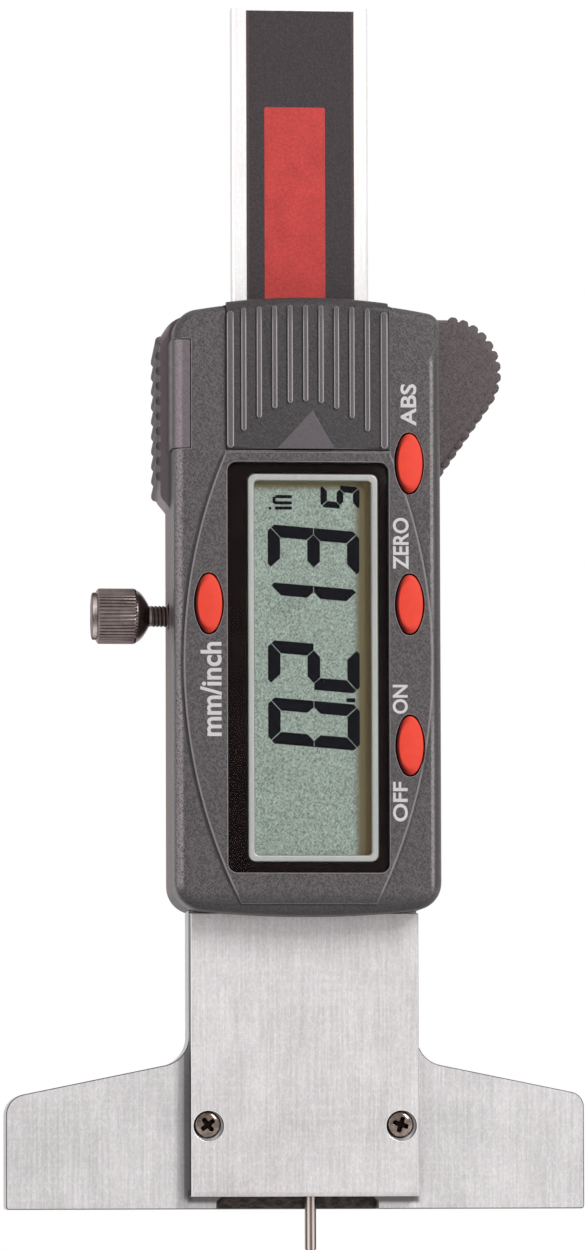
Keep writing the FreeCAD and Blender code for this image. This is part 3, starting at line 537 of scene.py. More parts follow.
@dataclass(frozen=True)
class GroundSteel:
    """Steel ground in one direction, with fine cross scratches."""

    name: str
    colour: Colour
    grain: Point = (3.4, 3.4, 0.10)
    cross: Point = (0.12, 0.12, 3.0)
    contrast: float = 0.13
    depth: float = 0.006
    rough: float = 0.44
    metal: float = 0.65
    channel: Optional[tuple[float, float]] = None
    foot: Optional[float] = None
    side: Optional[float] = None
    oil_and_shade: tuple[Colour, Colour] = ((0.008, 0.0045, 0.0035), (0.072, 0.050, 0.040))
    shadow: Colour = (0.03, 0.027, 0.028)

    def make(self) -> bpy.types.Material:
        """Builds the material; a channel gets oil with painted shade, a foot edge a painted bluish
        shade and a side face a painted dark shade.

        Returns:
            The material.
        """
        g = Graph(self.name)
        streak = g.noise(g.place(self.grain), 1.0, 4.0, 0.62)
        weft = g.noise(g.place(self.cross), 1.0, 3.0, 0.6)
        cloud = g.noise(g.place(), 0.12, 3.0, 0.6)
        fine = g.noise(g.place(), 3.2, 2.0, 0.6)
        curl = g.noise(g.place((1.0, 1.0, 0.55)), 1.5, 1.0, 0.5)
        curls = (1.0 - abs(curl - 0.5) * 16.0).most(0.0)
        height = streak * 0.6 + weft * 0.2 + fine * 0.3 + curls * 0.12
        shade = ((streak - 0.5) * 8.5 + (weft - 0.5) * 2.0 + (fine - 0.5) * 3.0 + curls * 2.0
                 + (cloud - 0.5) * 6.5) * self.contrast
        dark = scaled(self.colour, 0.74)
        light = scaled(self.colour, 1.22)
        colour = g.mix((shade + 0.45).clipped(), dark, light)
        if self.channel is not None:
            colour = self.channel_shades(g, colour)
        # Painted bluish shade on the down-facing foot fillet.
        if self.foot is not None:
            low = g.along()[2].ease(self.foot + 0.55, self.foot + 0.1)
            colour = g.mix(low, colour, (0.20, 0.22, 0.24))
        # Painted dark shade on the side faces.
        if self.side is not None:
            colour = g.mix(abs(g.along()[0]).ease(self.side - 0.05, self.side), colour,
                           (0.040, 0.036, 0.037))
        return g.finish(Base_Color=colour, Metallic=self.metal,
                        Roughness=(streak * 0.16 + (self.rough - 0.08)),
                        Normal=g.relief(height, self.depth))

    def channel_shades(self, g: Graph, colour: bpy.types.NodeSocket) -> bpy.types.NodeSocket:
        """Oil with painted shade in the channel, and painted shadow strips on the front under and
        beside the plate.

        Args:
            g: the material's graph.
            colour: the steel's colour.

        Returns:
            The colour with the shades.
        """
        half, level = self.channel
        x, y, z = g.along()
        # Oil and painted shade in the channel: blotched dark brown inside it.
        inside = (abs(x).ease(half + 0.05, half - 0.1) * y.ease(level + 0.1, level + 0.3)
                  * y.ease(2.15, 1.95))
        blots = g.noise(g.place((0.6, 0.6, 1.4)), 1.6, 3.0, 0.7).ease(0.36, 0.66)
        colour = g.mix(inside, colour, g.mix(blots, *self.oil_and_shade))
        # Painted shadow on the front: a dark strip under the plate's lower edge, a soft band left
        # of the plate and a thin one beside its left side.
        front = y.ease(-1.2, -1.7)
        under = front * abs(x).ease(15.6, 15.0) * z.ease(0.55, 1.15) * z.ease(3.0, 2.0)
        colour = g.mix(under * 0.8, colour, (0.02, 0.017, 0.018))
        cast_shadow_left = (front * x.ease(-16.9, -15.4) * x.ease(-14.5, -14.9) * z.ease(0.6, 1.6)
               * z.ease(26.0, 14.0))
        colour = g.mix(cast_shadow_left * 0.40, colour, self.shadow)
        beside = front * x.ease(-15.85, -15.6) * x.ease(-14.6, -14.9) * z.ease(1.0, 1.6)
        return g.mix(beside * 0.55, colour, self.shadow)


@dataclass(frozen=True)
class PlatedMetal:
    """Dark or bright plating on a turned or stamped piece, worn a little."""

    name: str
    colour: Colour
    rough: float = 0.26
    wear: float = 0.25
    deep: Optional[tuple[float, float]] = None

    def make(self) -> bpy.types.Material:
        """Builds the material; below the deep levels it takes a painted near-black shade.

        Returns:
            The material.
        """
        g = Graph(self.name)
        blot = g.noise(g.place(), 0.9, 4.0, 0.65)
        fine = g.noise(g.place(), 6.0, 2.0, 0.6)
        dark = scaled(self.colour, 1 - self.wear)
        light = scaled(self.colour, 1 + self.wear)
        colour = g.mix((blot * 1.8 + fine * 0.5 - 0.65).clipped(), dark, light)
        # Painted shade: nearly black in the recess between the deep levels.
        if self.deep is not None:
            y = g.along()[1]
            within = y.ease(*self.deep) * y.ease(0.0, -1.0)
            colour = g.mix(within, colour, (0.010, 0.006, 0.005))
        return g.finish(Base_Color=colour, Metallic=1.0,
                        Roughness=(blot * 0.18 + (self.rough - 0.09)),
                        Normal=g.relief(fine, 0.003))


@dataclass(frozen=True)
class DrawnRod:
    """Polished round stock whose painted reflection bands run along its length."""

    name: str
    colour: Colour
    middle: tuple[float, float]
    along: Axis = Axis.Z
    bands: int = 6
    start: float = 0.0
    depth: float = 0.7
    rough: float = 0.24

    def make(self) -> bpy.types.Material:
        """Builds the material; painted reflection bands follow the angle round the stock's axis.

        Returns:
            The material.
        """
        g = Graph(self.name)
        axes = g.along()
        first = axes[(self.along.value + 1) % 3] - self.middle[0]
        second = axes[(self.along.value + 2) % 3] - self.middle[1]
        # Painted reflection: light and dark bands by the angle round the axis.
        bands = (second.turned(first) * float(self.bands) + self.start).sine() * 0.5 + 0.5
        stretch = tuple(0.05 if axis is self.along else 5.0 for axis in Axis)
        drawn = g.noise(g.place(stretch), 1.0, 3.0, 0.6)
        share = (bands * 0.9 + (drawn - 0.5) * 0.6).clipped()
        dark = scaled(self.colour, 1.0 - self.depth)
        light = scaled(self.colour, 1.0 + self.depth)
        return g.finish(Base_Color=g.mix(share, dark, light), Metallic=0.9,
                        Specular_Tint=(0.3, 0.28, 0.27),
                        Roughness=(drawn * 0.1 + self.rough), Normal=g.relief(drawn, 0.004))


@dataclass(frozen=True)
class ScaleFilm:
    """Black printed film with a fine leather grain and pale specks."""

    name: str
    colour: Colour
    edge: Colour
    half_width: float = 7.1

    def make(self) -> bpy.types.Material:
        """Builds the material.

        Returns:
            The material.
        """
        g = Graph(self.name)
        grain = g.noise(g.place(), 2.6, 3.0, 0.65)
        specks = g.cells(g.place(), 3.2)
        across = abs(g.along()[0])
        height = grain * 0.8 + specks * 0.5
        pale = scaled(self.colour, 2.3)
        dark = scaled(self.colour, 0.62)
        base = g.mix(((height - 0.66) * 1.9 + 0.42).clipped(), dark, pale)
        rim = across.ease(self.half_width - 0.42, self.half_width - 0.2)
        colour = g.mix(rim * 0.6, base, self.edge)
        return g.finish(Base_Color=colour, Roughness=(height * 0.2 + 0.42),
                        Normal=g.relief(height, 0.03), Specular_IOR_Level=0.35)


@dataclass(frozen=True)
class Print:
    """Opaque ink or coloured film with a slight unevenness."""

    name: str
    colour: Colour
    grain: float = 3.0
    contrast: float = 0.1
    rough: float = 0.5
    depth: float = 0.01
    sheen: float = 0.25
    flank_shade: Optional[str] = None

    def make(self) -> bpy.types.Material:
        """Builds the material; a point attribute of the piece, where named, darkens it with
        painted shade.

        Returns:
            The material.
        """
        g = Graph(self.name)
        fine = g.noise(g.place(), self.grain, 3.0, 0.6)
        slow = g.noise(g.place(), 0.4, 2.0, 0.5)
        dark = scaled(self.colour, 1 - self.contrast * 1.6)
        light = scaled(self.colour, 1 + self.contrast * 1.6)
        share = ((fine - 0.5) * 1.6 + (slow - 0.5) * 0.8 + 0.5).clipped()
        colour = g.mix(share, dark, light)
        # Painted shade where the piece's attribute says, in a deep tone of its own colour.
        if self.flank_shade is not None:
            flank_shade = g.node("ShaderNodeAttribute", {"attribute_name": self.flank_shade})
            colour = g.mix(Num(g, flank_shade.outputs["Fac"]), colour,
                           tuple(c * c * 0.11 for c in self.colour))
        return g.finish(Base_Color=colour, Roughness=(fine * 0.12 + self.rough),
                        Normal=g.relief(fine, self.depth), Specular_IOR_Level=self.sheen)


@dataclass(frozen=True)
class DisplayGlass:
    """Reflective liquid crystal glass: a pale woven ground with painted shadow along two edges."""

    name: str
    ground: Colour
    shade: Colour
    deep: Colour
    head: Colour
    right: float
    top: float
    grain: Point = (7.2, 7.2, 2.3)

    def make(self) -> bpy.types.Material:
        """Builds the material.

        Returns:
            The material.
        """
        g = Graph(self.name)
        x, _, z = g.along()
        slow = g.noise(g.place(), 0.25, 2.0, 0.5)
        light = scaled(self.ground, 1.55)
        dark = scaled(self.ground, 0.46)
        ply = (g.weave(self.grain, 38, -42) - 0.56) * 3.7 + (slow - 0.5) * 0.25 + 0.5
        weave = g.mix(ply.clipped(), dark, light)
        # Painted shadow of the frame: a band along the right side, deeper at the edge, and one
        # along the top.
        side = x.ease(self.right - 2.5, self.right - 1.15)
        upper = z.ease(self.top - 1.5, self.top - 0.2)
        band = g.mix(x.ease(self.right - 1.0, self.right - 0.5), self.shade, self.deep)
        colour = g.mix(side, g.mix(upper, weave, self.head), band)
        return g.finish(Base_Color=colour, Roughness=0.42, Specular_IOR_Level=0.12)


@dataclass(frozen=True)
class ClearPlastic:
    """A thin clear lens: what lies under it shows, with a gloss on top."""

    name: str
    rough: float = 0.04

    def make(self) -> bpy.types.Material:
        """Builds the material.

        Returns:
            The material.
        """
        g = Graph(self.name)
        scratch = g.noise(g.place((0.7, 0.7, 0.2)), 1.0, 4.0, 0.7)
        gloss = g.node("ShaderNodeBsdfGlossy", None, Color=(1.0, 1.0, 1.0),
                       Roughness=(scratch * 0.05 + self.rough))
        through = g.node("ShaderNodeBsdfTransparent", None, Color=(0.97, 0.975, 0.97))
        edge = g.node("ShaderNodeFresnel", None, IOR=1.33)
        both = g.node("ShaderNodeMixShader", None, Num(g, edge.outputs[0]) * 0.10,
                      through.outputs[0], gloss.outputs[0])
        return g.close(both.outputs[0])


@dataclass(frozen=True)
class CircuitBoard:
    """Solder mask with copper runs that show through as paler lines."""

    name: str
    colour: Colour

    def make(self) -> bpy.types.Material:
        """Builds the material.

        Returns:
            The material.
        """
        g = Graph(self.name)
        x, _, z = g.along()
        blocks = g.noise(g.place((1.0, 0.0, 1.0)), 0.14, 0.0)
        runs = ((x * 4.2 + blocks * 9.0).sine() * (z * 1.9 + blocks * 14.0).sine()).ease(0.25, 0.4)
        fine = g.noise(g.place(), 4.0, 2.0, 0.6)
        pale = scaled(self.colour, 2.2, 0.02)
        colour = g.mix(runs * 0.7 + fine * 0.2, self.colour, pale)
        return g.finish(Base_Color=colour, Roughness=(fine * 0.1 + 0.24),
                        Normal=g.relief(runs, 0.02))


class Finishes:
    """Every finish of the gauge, made once and handed out by name."""

    def __init__(self) -> None:
        """Makes all the materials."""
        # Front shell: painted beaded highlight down the left fillet, painted highlight and shade
        # on the right fillet, panel edge lines, and painted shade along the bottom.
        self.face = MouldedPlastic("head_front_plastic", (0.096, 0.085, 0.088), contrast=3.8,
                                   depth=0.09, rough=0.42, shade_span=(39.8, 41.6),
                                   panel=PanelEdge(), sheens=(
                                       Sheen(-16.90, 0.66, (0.42, 0.37, 0.38), high=113.0,
                                             beads=1.2),
                                       Sheen(16.26, 0.30, (0.38, 0.34, 0.345), high=112.0,
                                             beads=0.7),
                                       Sheen(16.85, 0.34, (0.066, 0.058, 0.061), high=112.0),
                                   )).make()
        # Rear shell: painted broken highlight along the seam, painted light in the grip recess and
        # on the left side wall.
        self.back = MouldedPlastic("head_rear_plastic", (0.122, 0.101, 0.103), contrast=1.6,
                                   depth=0.04, rough=0.5, seam_glint=(17.68, 0.14), gloss=0.16,
                                   sheens=(Sheen(-18.3, 1.15, (0.36, 0.302, 0.315), 84.0, 121.0,
                                                 front=9.0),
                                           Sheen(-17.75, 0.8, (0.25, 0.175, 0.178), 37.0, 92.0,
                                                 front=9.0))).make()
        # Battery cover: ribs painted lighter as a highlight, with painted shade beside them.
        self.door = MouldedPlastic("battery_cover_plastic", (0.052, 0.046, 0.048), contrast=2.4,
                                   depth=0.07, rough=0.42, proud=(0.122, 0.106, 0.117),
                                   ribs=RibShade()).make()
        # Broken edges of the cover: painted highlight lines on the raised rib edges, faded by
        # painted shade at their tops.
        self.door_edge_highlight = MouldedPlastic("battery_cover_edge", (0.13, 0.12, 0.125), contrast=0.8,
                                        rough=0.34, proud=(0.47, 0.43, 0.45),
                                        proud_level=-11.2, shade_span=(117.6, 115.2)).make()
        # Port strip: painted beaded highlight down its fillet.
        self.strip = MouldedPlastic("port_strip_plastic", (0.165, 0.137, 0.150), contrast=0.9,
                                    depth=0.02, rough=0.36, sheens=(
                                        Sheen(-16.90, 0.66, (0.37, 0.315, 0.342), beads=0.6),
                                    )).make()
        # Light lines on the front shell's broken edges: painted highlight, with painted shade
        # along the bottom.
        self.lit_edge = MouldedPlastic("moulding_edge_worn", (0.30, 0.275, 0.283), contrast=0.8,
                                       rough=0.38, shade_span=(39.8, 41.6)).make()
        # Base: oil with painted shade in the channel and painted shadow under and beside the
        # plate.
        self.frame = GroundSteel("base_ground_steel", (0.62, 0.597, 0.602), metal=0.45,
                                 channel=(11.6, -1.95)).make()
        # Cover plate: painted bluish shade at the foot and painted dark shade on the side faces.
        self.plate = GroundSteel("plate_ground_steel", (0.63, 0.597, 0.602), metal=0.45,
                                 foot=1.15, side=14.97).make()
        # Plate's broken edges: painted white highlight, with painted shade at the foot.
        self.plate_edge_highlight = GroundSteel("steel_edge_bright", (0.92, 0.90, 0.90), contrast=0.05,
                                       rough=0.3, foot=1.2).make()
        # Base's broken edges: painted dark reflection.
        self.frame_edge_dark_reflection = GroundSteel("steel_edge_dark", (0.10, 0.095, 0.095), contrast=0.1,
                                      rough=0.3).make()
        self.beam = GroundSteel("beam_ground_steel", (0.90, 0.845, 0.835), contrast=0.06,
                                rough=0.36, metal=0.6).make()
        self.film = ScaleFilm("scale_black_film", (0.0245, 0.0168, 0.0198),
                              (0.085, 0.055, 0.045)).make()
        self.red_film = Print("scale_red_film", (0.60, 0.061, 0.056), grain=2.8, contrast=0.16,
                              depth=0.02).make()
        self.ink = Print("white_marking", (0.72, 0.69, 0.71), contrast=0.06).make()
        # Keys: painted shade on the rim's left and lower side.
        self.key = Print("key_red_rubber", (1.0, 0.078, 0.046), grain=0.8, contrast=0.05,
                         rough=0.46, depth=0.02, sheen=0.2, flank_shade="flank_shade").make()
        # Display glass: painted shadow of the frame along the right side and the top.
        self.glass = DisplayGlass("display_ground", (0.402, 0.475, 0.424), (0.182, 0.152, 0.086),
                                  (0.27, 0.195, 0.10), (0.27, 0.225, 0.115), 8.35, 95.2).make()
        self.segment = Print("display_segment", (0.006, 0.0055, 0.009), contrast=0.2,
                             rough=0.5, sheen=0.05).make()
        self.lens = ClearPlastic("display_lens_clear").make()
        self.mask = Print("display_black_mask", (0.0085, 0.0042, 0.0042), contrast=0.3,
                          rough=0.3, depth=0.0, sheen=0.03, grain=0.4).make()
        self.ring = GroundSteel("display_silver_ring", (0.455, 0.45, 0.442), contrast=0.05,
                                rough=0.42, metal=0.55, depth=0.002).make()
        self.lock = PlatedMetal("lock_gunmetal", (0.17, 0.135, 0.13), rough=0.30).make()
        # Rod and cap: painted reflection bands round their axes.
        self.rod = DrawnRod("probe_drawn_steel", (0.37, 0.305, 0.28), (1.1, 0.0), bands=7,
                            start=math.pi, depth=0.93).make()
        self.cap = DrawnRod("lock_cap_bright", (0.355, 0.295, 0.282), (0.0, 78.1), Axis.X,
                            bands=5, start=0.6).make()
        self.neck = PlatedMetal("lock_thread_dark", (0.068, 0.049, 0.047), rough=0.4).make()
        self.screw = PlatedMetal("screw_nickel", (0.20, 0.165, 0.145), rough=0.2, wear=0.4).make()
        # Plate screws: painted near-black shade in the cross recess.
        self.plate_screw = PlatedMetal("plate_screw_nickel", (0.17, 0.135, 0.115), rough=0.16,
                                       wear=0.85, deep=(-4.72, -4.60)).make()
        self.pin = PlatedMetal("pin_steel", (0.55, 0.55, 0.55)).make()
        self.brass = PlatedMetal("gib_rolled_brass", (0.72, 0.52, 0.22), rough=0.34).make()
        self.cell = PlatedMetal("cell_stamped_steel", (0.55, 0.54, 0.525), rough=0.36,
                                wear=0.1).make()
        self.gold = PlatedMetal("contact_gold", (0.83, 0.62, 0.25), rough=0.22, wear=0.1).make()
        self.spring = PlatedMetal("contact_spring_sheet", (0.70, 0.67, 0.60), rough=0.3,
                                  wear=0.1).make()
        self.board = CircuitBoard("board_green_mask", (0.012, 0.085, 0.035)).make()
        self.epoxy = Print("chip_black_epoxy", (0.010, 0.010, 0.011), contrast=0.2, rough=0.25,
                           depth=0.02).make()
        self.zebra = Print("zebra_strip_rubber", (0.11, 0.11, 0.13), grain=5.0, contrast=0.3,
                           rough=0.6).make()


# ---- mesh work ---------------------------------------------------------------------------


def metres(point: Sequence[float]) -> Vector:
    """A point in millimetres as a vector in metres."""
    return Vector(point) * MM


def dress(piece: bpy.types.Object, material: bpy.types.Material) -> bpy.types.Object:
    """Gives the whole piece one material.

    Args:
        piece: a mesh object.
        material: its finish.

    Returns:
        The piece.
    """
    piece.data.materials.clear()
    piece.data.materials.append(material)
    return piece


def placed(name: str, data: bpy.types.ID) -> bpy.types.Object:
    """Sets data in the scene.

    Args:
        name: the object's name.
        data: its mesh, curve, lamp or camera.

    Returns:
        The object, at the origin.
    """
    made = bpy.data.objects.new(name, data)
    bpy.context.scene.collection.objects.link(made)
    return made


def closed(mesh: bpy.types.Mesh) -> bpy.types.Mesh:
    """Joins the points that lie together and turns every face outwards.

    Args:
        mesh: the mesh, which is changed.

    Returns:
        The same mesh.
    """
    work = bmesh.new()
    work.from_mesh(mesh)
    bmesh.ops.remove_doubles(work, verts=work.verts, dist=SAME_POINT)
    bmesh.ops.recalc_face_normals(work, faces=work.faces)
    work.to_mesh(mesh)
    work.free()
    return mesh


def ring_faces(rings: int, sides: int, first: int = 0) -> list[tuple[int, ...]]:
    """The faces between rings of points that follow each other.

    Args:
        rings: how many rings there are.
        sides: points in each.
        first: the number of the first point of the first ring.

    Returns:
        Faces with four corners, as corner numbers.
    """
    faces = []
    for ring in range(rings - 1):
        low, high = first + ring * sides, first + (ring + 1) * sides
        for side in range(sides):
            after = (side + 1) % sides
            faces.append((low + side, low + after, high + after, high + side))
    return faces


def rounded(piece: bpy.types.Object, angle: float = SMOOTH_BELOW) -> bpy.types.Object:
    """Shades a piece smooth.

    Args:
        piece: a mesh object.
        angle: edges sharper than this stay sharp, in degrees.

    Returns:
        The piece.
    """
    piece.data.shade_smooth()
    piece.data.set_sharp_from_angle(angle=math.radians(angle))
    return piece


def piece_from(name: str, points: Iterable[Sequence[float]], faces: Iterable[Sequence[int]],
               material: bpy.types.Material, angle: float = SMOOTH_BELOW) -> bpy.types.Object:
    """A closed mesh piece whose faces point outwards.

    Args:
        name: the piece's name.
        points: its corners in millimetres.
        faces: its faces as corner numbers.
        material: its finish.
        angle: edges sharper than this stay sharp, in degrees.

    Returns:
        The object, at the origin.
    """
    mesh = bpy.data.meshes.new(name)
    mesh.from_pydata([metres(p) for p in points], [], [tuple(f) for f in faces])
    return rounded(dress(placed(name, closed(mesh)), material), angle)


def bake(piece: bpy.types.Object) -> bpy.types.Object:
    """Turns a piece's modifiers into plain mesh and removes them.

    Args:
        piece: a mesh object.

    Returns:
        The piece.
    """
    graph = bpy.context.evaluated_depsgraph_get()
    mesh = bpy.data.meshes.new_from_object(piece.evaluated_get(graph), depsgraph=graph)
    piece.modifiers.clear()
    piece.data = mesh
    return piece


def mark_outer_edges(piece: bpy.types.Object, angle: float) -> None:
    """Marks the outward edges sharper than an angle in degrees for the edge break.

    Args:
        piece: the piece.
        angle: edges less sharp than this, and all inner corners, stay as they are.
    """
    mesh = piece.data
    work = bmesh.new()
    work.from_mesh(mesh)
    weight = work.edges.layers.float.new("bevel_weight_edge")
    for edge in work.edges:
        if len(edge.link_faces) == 2 and edge.is_convex:
            edge[weight] = float(edge.calc_face_angle() > math.radians(angle))
    work.to_mesh(mesh)
    work.free()


def edge_broken(piece: bpy.types.Object, width: float, segments: int,
                edge: Optional[bpy.types.Material]) -> bpy.types.Object:
    """Rounds every sharp edge of a piece by a small width in millimetres.

    Args:
        piece: the piece.
        width: the edge break in millimetres.
        segments: facets across the break.
        edge: the finish of the broken edges, where it is not the piece's own.

    Returns:
        The piece.
    """
    bevel = piece.modifiers.new("edge break", "BEVEL")
    if edge is not None:
        piece.data.materials.append(edge)
        bevel.material = 1
    bevel.width = width * MM
    bevel.segments = segments
    bevel.limit_method = "WEIGHT"
    mark_outer_edges(piece, BROKEN_ABOVE)
    bevel.use_clamp_overlap = False
    bevel.harden_normals = False
    bevel.miter_outer = "MITER_ARC"
    rounded(bake(piece), SMOOTH_BROKEN)
    even = piece.modifiers.new("even shading", "WEIGHTED_NORMAL")
    even.mode = "FACE_AREA"
    even.weight = 100
    even.keep_sharp = True
    return bake(piece)


def spun(name: str, profile: Sequence[Flat], axis: Axis, centre: Point,
         material: bpy.types.Material, sides: int = 64) -> bpy.types.Object:
    """A turned piece.

    Args:
        name: the piece's name.
        profile: (radius, place along the axis) from one pole to the other, in millimetres.
        axis: the axis that it turns about.
        centre: a point on that axis; the coordinate along the axis is not used.
        material: its finish.
        sides: flats round the axis.

    Returns:
        The object.
    """
    a = axis.value
    b, c = (a + 1) % 3, (a + 2) % 3
    points: list[Point] = []
    for radius, height in profile:
        for side in range(sides):
            turn = math.tau * side / sides
            point = [0.0, 0.0, 0.0]
            point[a] = height
            point[b] = centre[b] + radius * math.cos(turn)
            point[c] = centre[c] + radius * math.sin(turn)
            points.append(tuple(point))
    return piece_from(name, points, ring_faces(len(profile), sides), material)


def prism(name: str, outline: Sequence[Flat], front: float, back: float,
          material: bpy.types.Material) -> bpy.types.Object:
    """An outline in the front view given depth.

    Args:
        name: the piece's name.
        outline: its corners as (x, z), in millimetres.
        front: the level of the front face.
        back: the level of the back face.
        material: its finish.

    Returns:
        The object.
    """
    count = len(outline)
    points = [(x, front, z) for x, z in outline] + [(x, back, z) for x, z in outline]
    faces = [tuple(range(count)), tuple(range(count, 2 * count))]
    faces += ring_faces(2, count)
    return piece_from(name, points, faces, material)


def round_box(left: float, right: float, low: float, high: float, radius: float,
              steps: int = 8) -> list[Flat]:
    """The outline of a rectangle with rounded corners.

    Args:
        left: its left side in the front view, in millimetres.
        right: its right side.
        low: its lower side.
        high: its upper side.
        radius: the corners' radius.
        steps: chords in a corner.

    Returns:
        The outline as (x, z) points.
    """
    outline = []
    for x, z, start in ((right - radius, high - radius, 0), (left + radius, high - radius, 90),
                        (left + radius, low + radius, 180), (right - radius, low + radius, 270)):
        for step in range(steps + 1):
            turn = math.radians(start + 90 * step / steps)
            outline.append((x + radius * math.cos(turn), z + radius * math.sin(turn)))
    return outline


def softened(node: str, name: str, body: Body, material: bpy.types.Material,
             width: float, segments: int = 2, edge: Optional[bpy.types.Material] = None,
             cut: bool = False) -> bpy.types.Object:
    """A copy of a solid with its sharp edges broken, which stands in for it.

    Args:
        node: the solid.
        name: the new piece's name.
        body: what it rides on.
        material: its finish.
        width: the edge break in millimetres.
        segments: facets across the break.
        edge: the finish of the broken edges, where it is not the piece's own.
        cut: whether faces with many corners are cut to triangles first.

    Returns:
        The new piece.
    """
    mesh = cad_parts[node].data.copy()
    work = bmesh.new()
    work.from_mesh(mesh)
    bmesh.ops.remove_doubles(work, verts=work.verts, dist=SAME_SOLID_POINT)
    bmesh.ops.dissolve_limit(work, angle_limit=math.radians(FLAT_DEGREES), verts=work.verts,
                             edges=work.edges, use_dissolve_boundaries=False)
    if cut:
        bmesh.ops.triangulate(work, faces=[face for face in work.faces if len(face.verts) > 4])
    work.to_mesh(mesh)
    work.free()
    mesh.name = name
    made = edge_broken(dress(placed(name, mesh), material), width, segments, edge)
    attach(made, body.value)
    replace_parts(made, node)
    LOG.info("%s stands for %s with %d faces", name, node, len(made.data.polygons))
    return made


def finish_node(node: str, material: bpy.types.Material) -> None:
    """Gives a solid that stays its finish."""
    dress(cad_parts[node], material)
    LOG.info("%s keeps its solid", node)


# ---- repeats -----------------------------------------------------------------------------


class Repeat:
    """A Geometry Nodes tree that sets copies of one piece on points, and its baking."""

    def __init__(self, name: str) -> None:
        """Makes an empty tree with a geometry input and output."""
        self.tree = bpy.data.node_groups.new(name, "GeometryNodeTree")
        for way in ("INPUT", "OUTPUT"):
            self.tree.interface.new_socket("Geometry", in_out=way,
                                           socket_type="NodeSocketGeometry")
        self.inlet = self.tree.nodes.new("NodeGroupInput")
        self.outlet = self.tree.nodes.new("NodeGroupOutput")
        self.values: dict[str, object] = {}

    def given(self, name: str, kind: str, value: object) -> str:
        """Declares a named input.

        Args:
            name: the input's name.
            kind: its socket type.
            value: what the modifier sets it to.

        Returns:
            The name, for use with socket().
        """
        item = self.tree.interface.new_socket(name, in_out="INPUT", socket_type=kind)
        self.values[item.identifier] = value
        return name

    def socket(self, name: str) -> bpy.types.NodeSocket:
        """The group input of that name."""
        return self.inlet.outputs[name]

    def add(self, kind: str, settings: Optional[dict] = None, **links: object) -> bpy.types.Node:
        """Adds one node, with its settings first and its sockets next.

        Args:
            kind: the node's type.
            settings: the node's attributes.
            links: values or links for sockets by name, with _ for a space.

        Returns:
            The node.
        """
        node = self.tree.nodes.new(kind)
        for key, value in (settings or {}).items():
            setattr(node, key, value)
        for name, value in links.items():
            socket = node.inputs[name.replace("_", " ")]
            if isinstance(value, bpy.types.NodeSocket):
                self.tree.links.new(value, socket)
            else:
                socket.default_value = value
        return node

    def end(self, instances: bpy.types.NodeSocket, host: bpy.types.Object,
            material: bpy.types.Material) -> bpy.types.Object:
        """Realises the copies, sets their material, bakes them into the host.

        Args:
            instances: the socket that holds the copies.
            host: the object whose mesh the points come from.
            material: the copies' finish.

        Returns:
            The host, now a plain mesh of all the copies.
        """
        real = self.add("GeometryNodeRealizeInstances", None, Geometry=instances)
        coat = self.add("GeometryNodeSetMaterial", None, Geometry=real.outputs[0],
                        Material=material)
        self.tree.links.new(coat.outputs[0], self.outlet.inputs[0])
        modifier = host.modifiers.new(self.tree.name, "NODES")
        modifier.node_group = self.tree
        for identifier, value in self.values.items():
            modifier[identifier] = value
        return rounded(dress(bake(host), material), SMOOTH_COPIES)


def points_host(name: str, places: Sequence[Point]) -> bpy.types.Object:
    """An object whose mesh is only points.

    Args:
        name: its name.
        places: the points, in millimetres.

    Returns:
        The object.
    """
    mesh = bpy.data.meshes.new(name)
    mesh.from_pydata([metres(p) for p in places], [], [])
    return placed(name, mesh)


def copies_at(name: str, pattern: bpy.types.Object, places: Sequence[Point],
              material: bpy.types.Material, turns: Sequence[float] = (),
              about: Axis = Axis.Y) -> bpy.types.Object:
    """Copies of one pattern piece on given points, each turned about one axis.

    Args:
        name: the new piece's name.
        pattern: the piece to copy, made round the origin; it is removed.
        places: where the copies go, in millimetres.
        material: their finish.
        turns: the turn of each copy in degrees.
        about: the axis that they turn about.

    Returns:
        One mesh object with all the copies.
    """
    host = points_host(name, places)
    spin = host.data.attributes.new("turn", "FLOAT", "POINT")
    for index in range(len(places)):
        spin.data[index].value = math.radians(turns[index]) if index < len(turns) else 0.0
    repeat = Repeat(name + "_repeat")
    repeat.given("Pattern", "NodeSocketObject", pattern)
    repeat.given("Size", "NodeSocketFloat", 1.0)
    info = repeat.add("GeometryNodeObjectInfo", {"transform_space": "ORIGINAL"},
                      Object=repeat.socket("Pattern"))
    angle = repeat.add("GeometryNodeInputNamedAttribute", {"data_type": "FLOAT"}, Name="turn")
    euler = repeat.add("ShaderNodeCombineXYZ")
    repeat.tree.links.new(angle.outputs[0], euler.inputs[about.value])
    seats = repeat.add("GeometryNodeInstanceOnPoints", None, Points=repeat.inlet.outputs[0],
                       Instance=info.outputs["Geometry"], Rotation=euler.outputs[0],
                       Scale=repeat.socket("Size"))
    made = repeat.end(seats.outputs[0], host, material)
    bpy.data.objects.remove(pattern)
    return made


def ring_of(name: str, pattern: bpy.types.Object, count: int, centre: Point, radius: float,
            material: bpy.types.Material) -> bpy.types.Object:
    """Copies of one pattern piece round an axis along X.

    Args:
        name: the new piece's name.
        pattern: the piece to copy, made at the origin with its outside towards +Z.
        count: how many copies.
        centre: the middle of the ring in millimetres.
        radius: its radius in millimetres.
        material: their finish.

    Returns:
        One mesh object with all the copies.
    """
    places, turns = [], []
    for index in range(count):
        turn = math.tau * index / count
        places.append((centre[0], centre[1] - radius * math.sin(turn),
                       centre[2] + radius * math.cos(turn)))
        turns.append(math.degrees(turn))
    return copies_at(name, pattern, places, material, turns, Axis.X)


# ---- sub-assemblies ----------------------------------------------------------------------


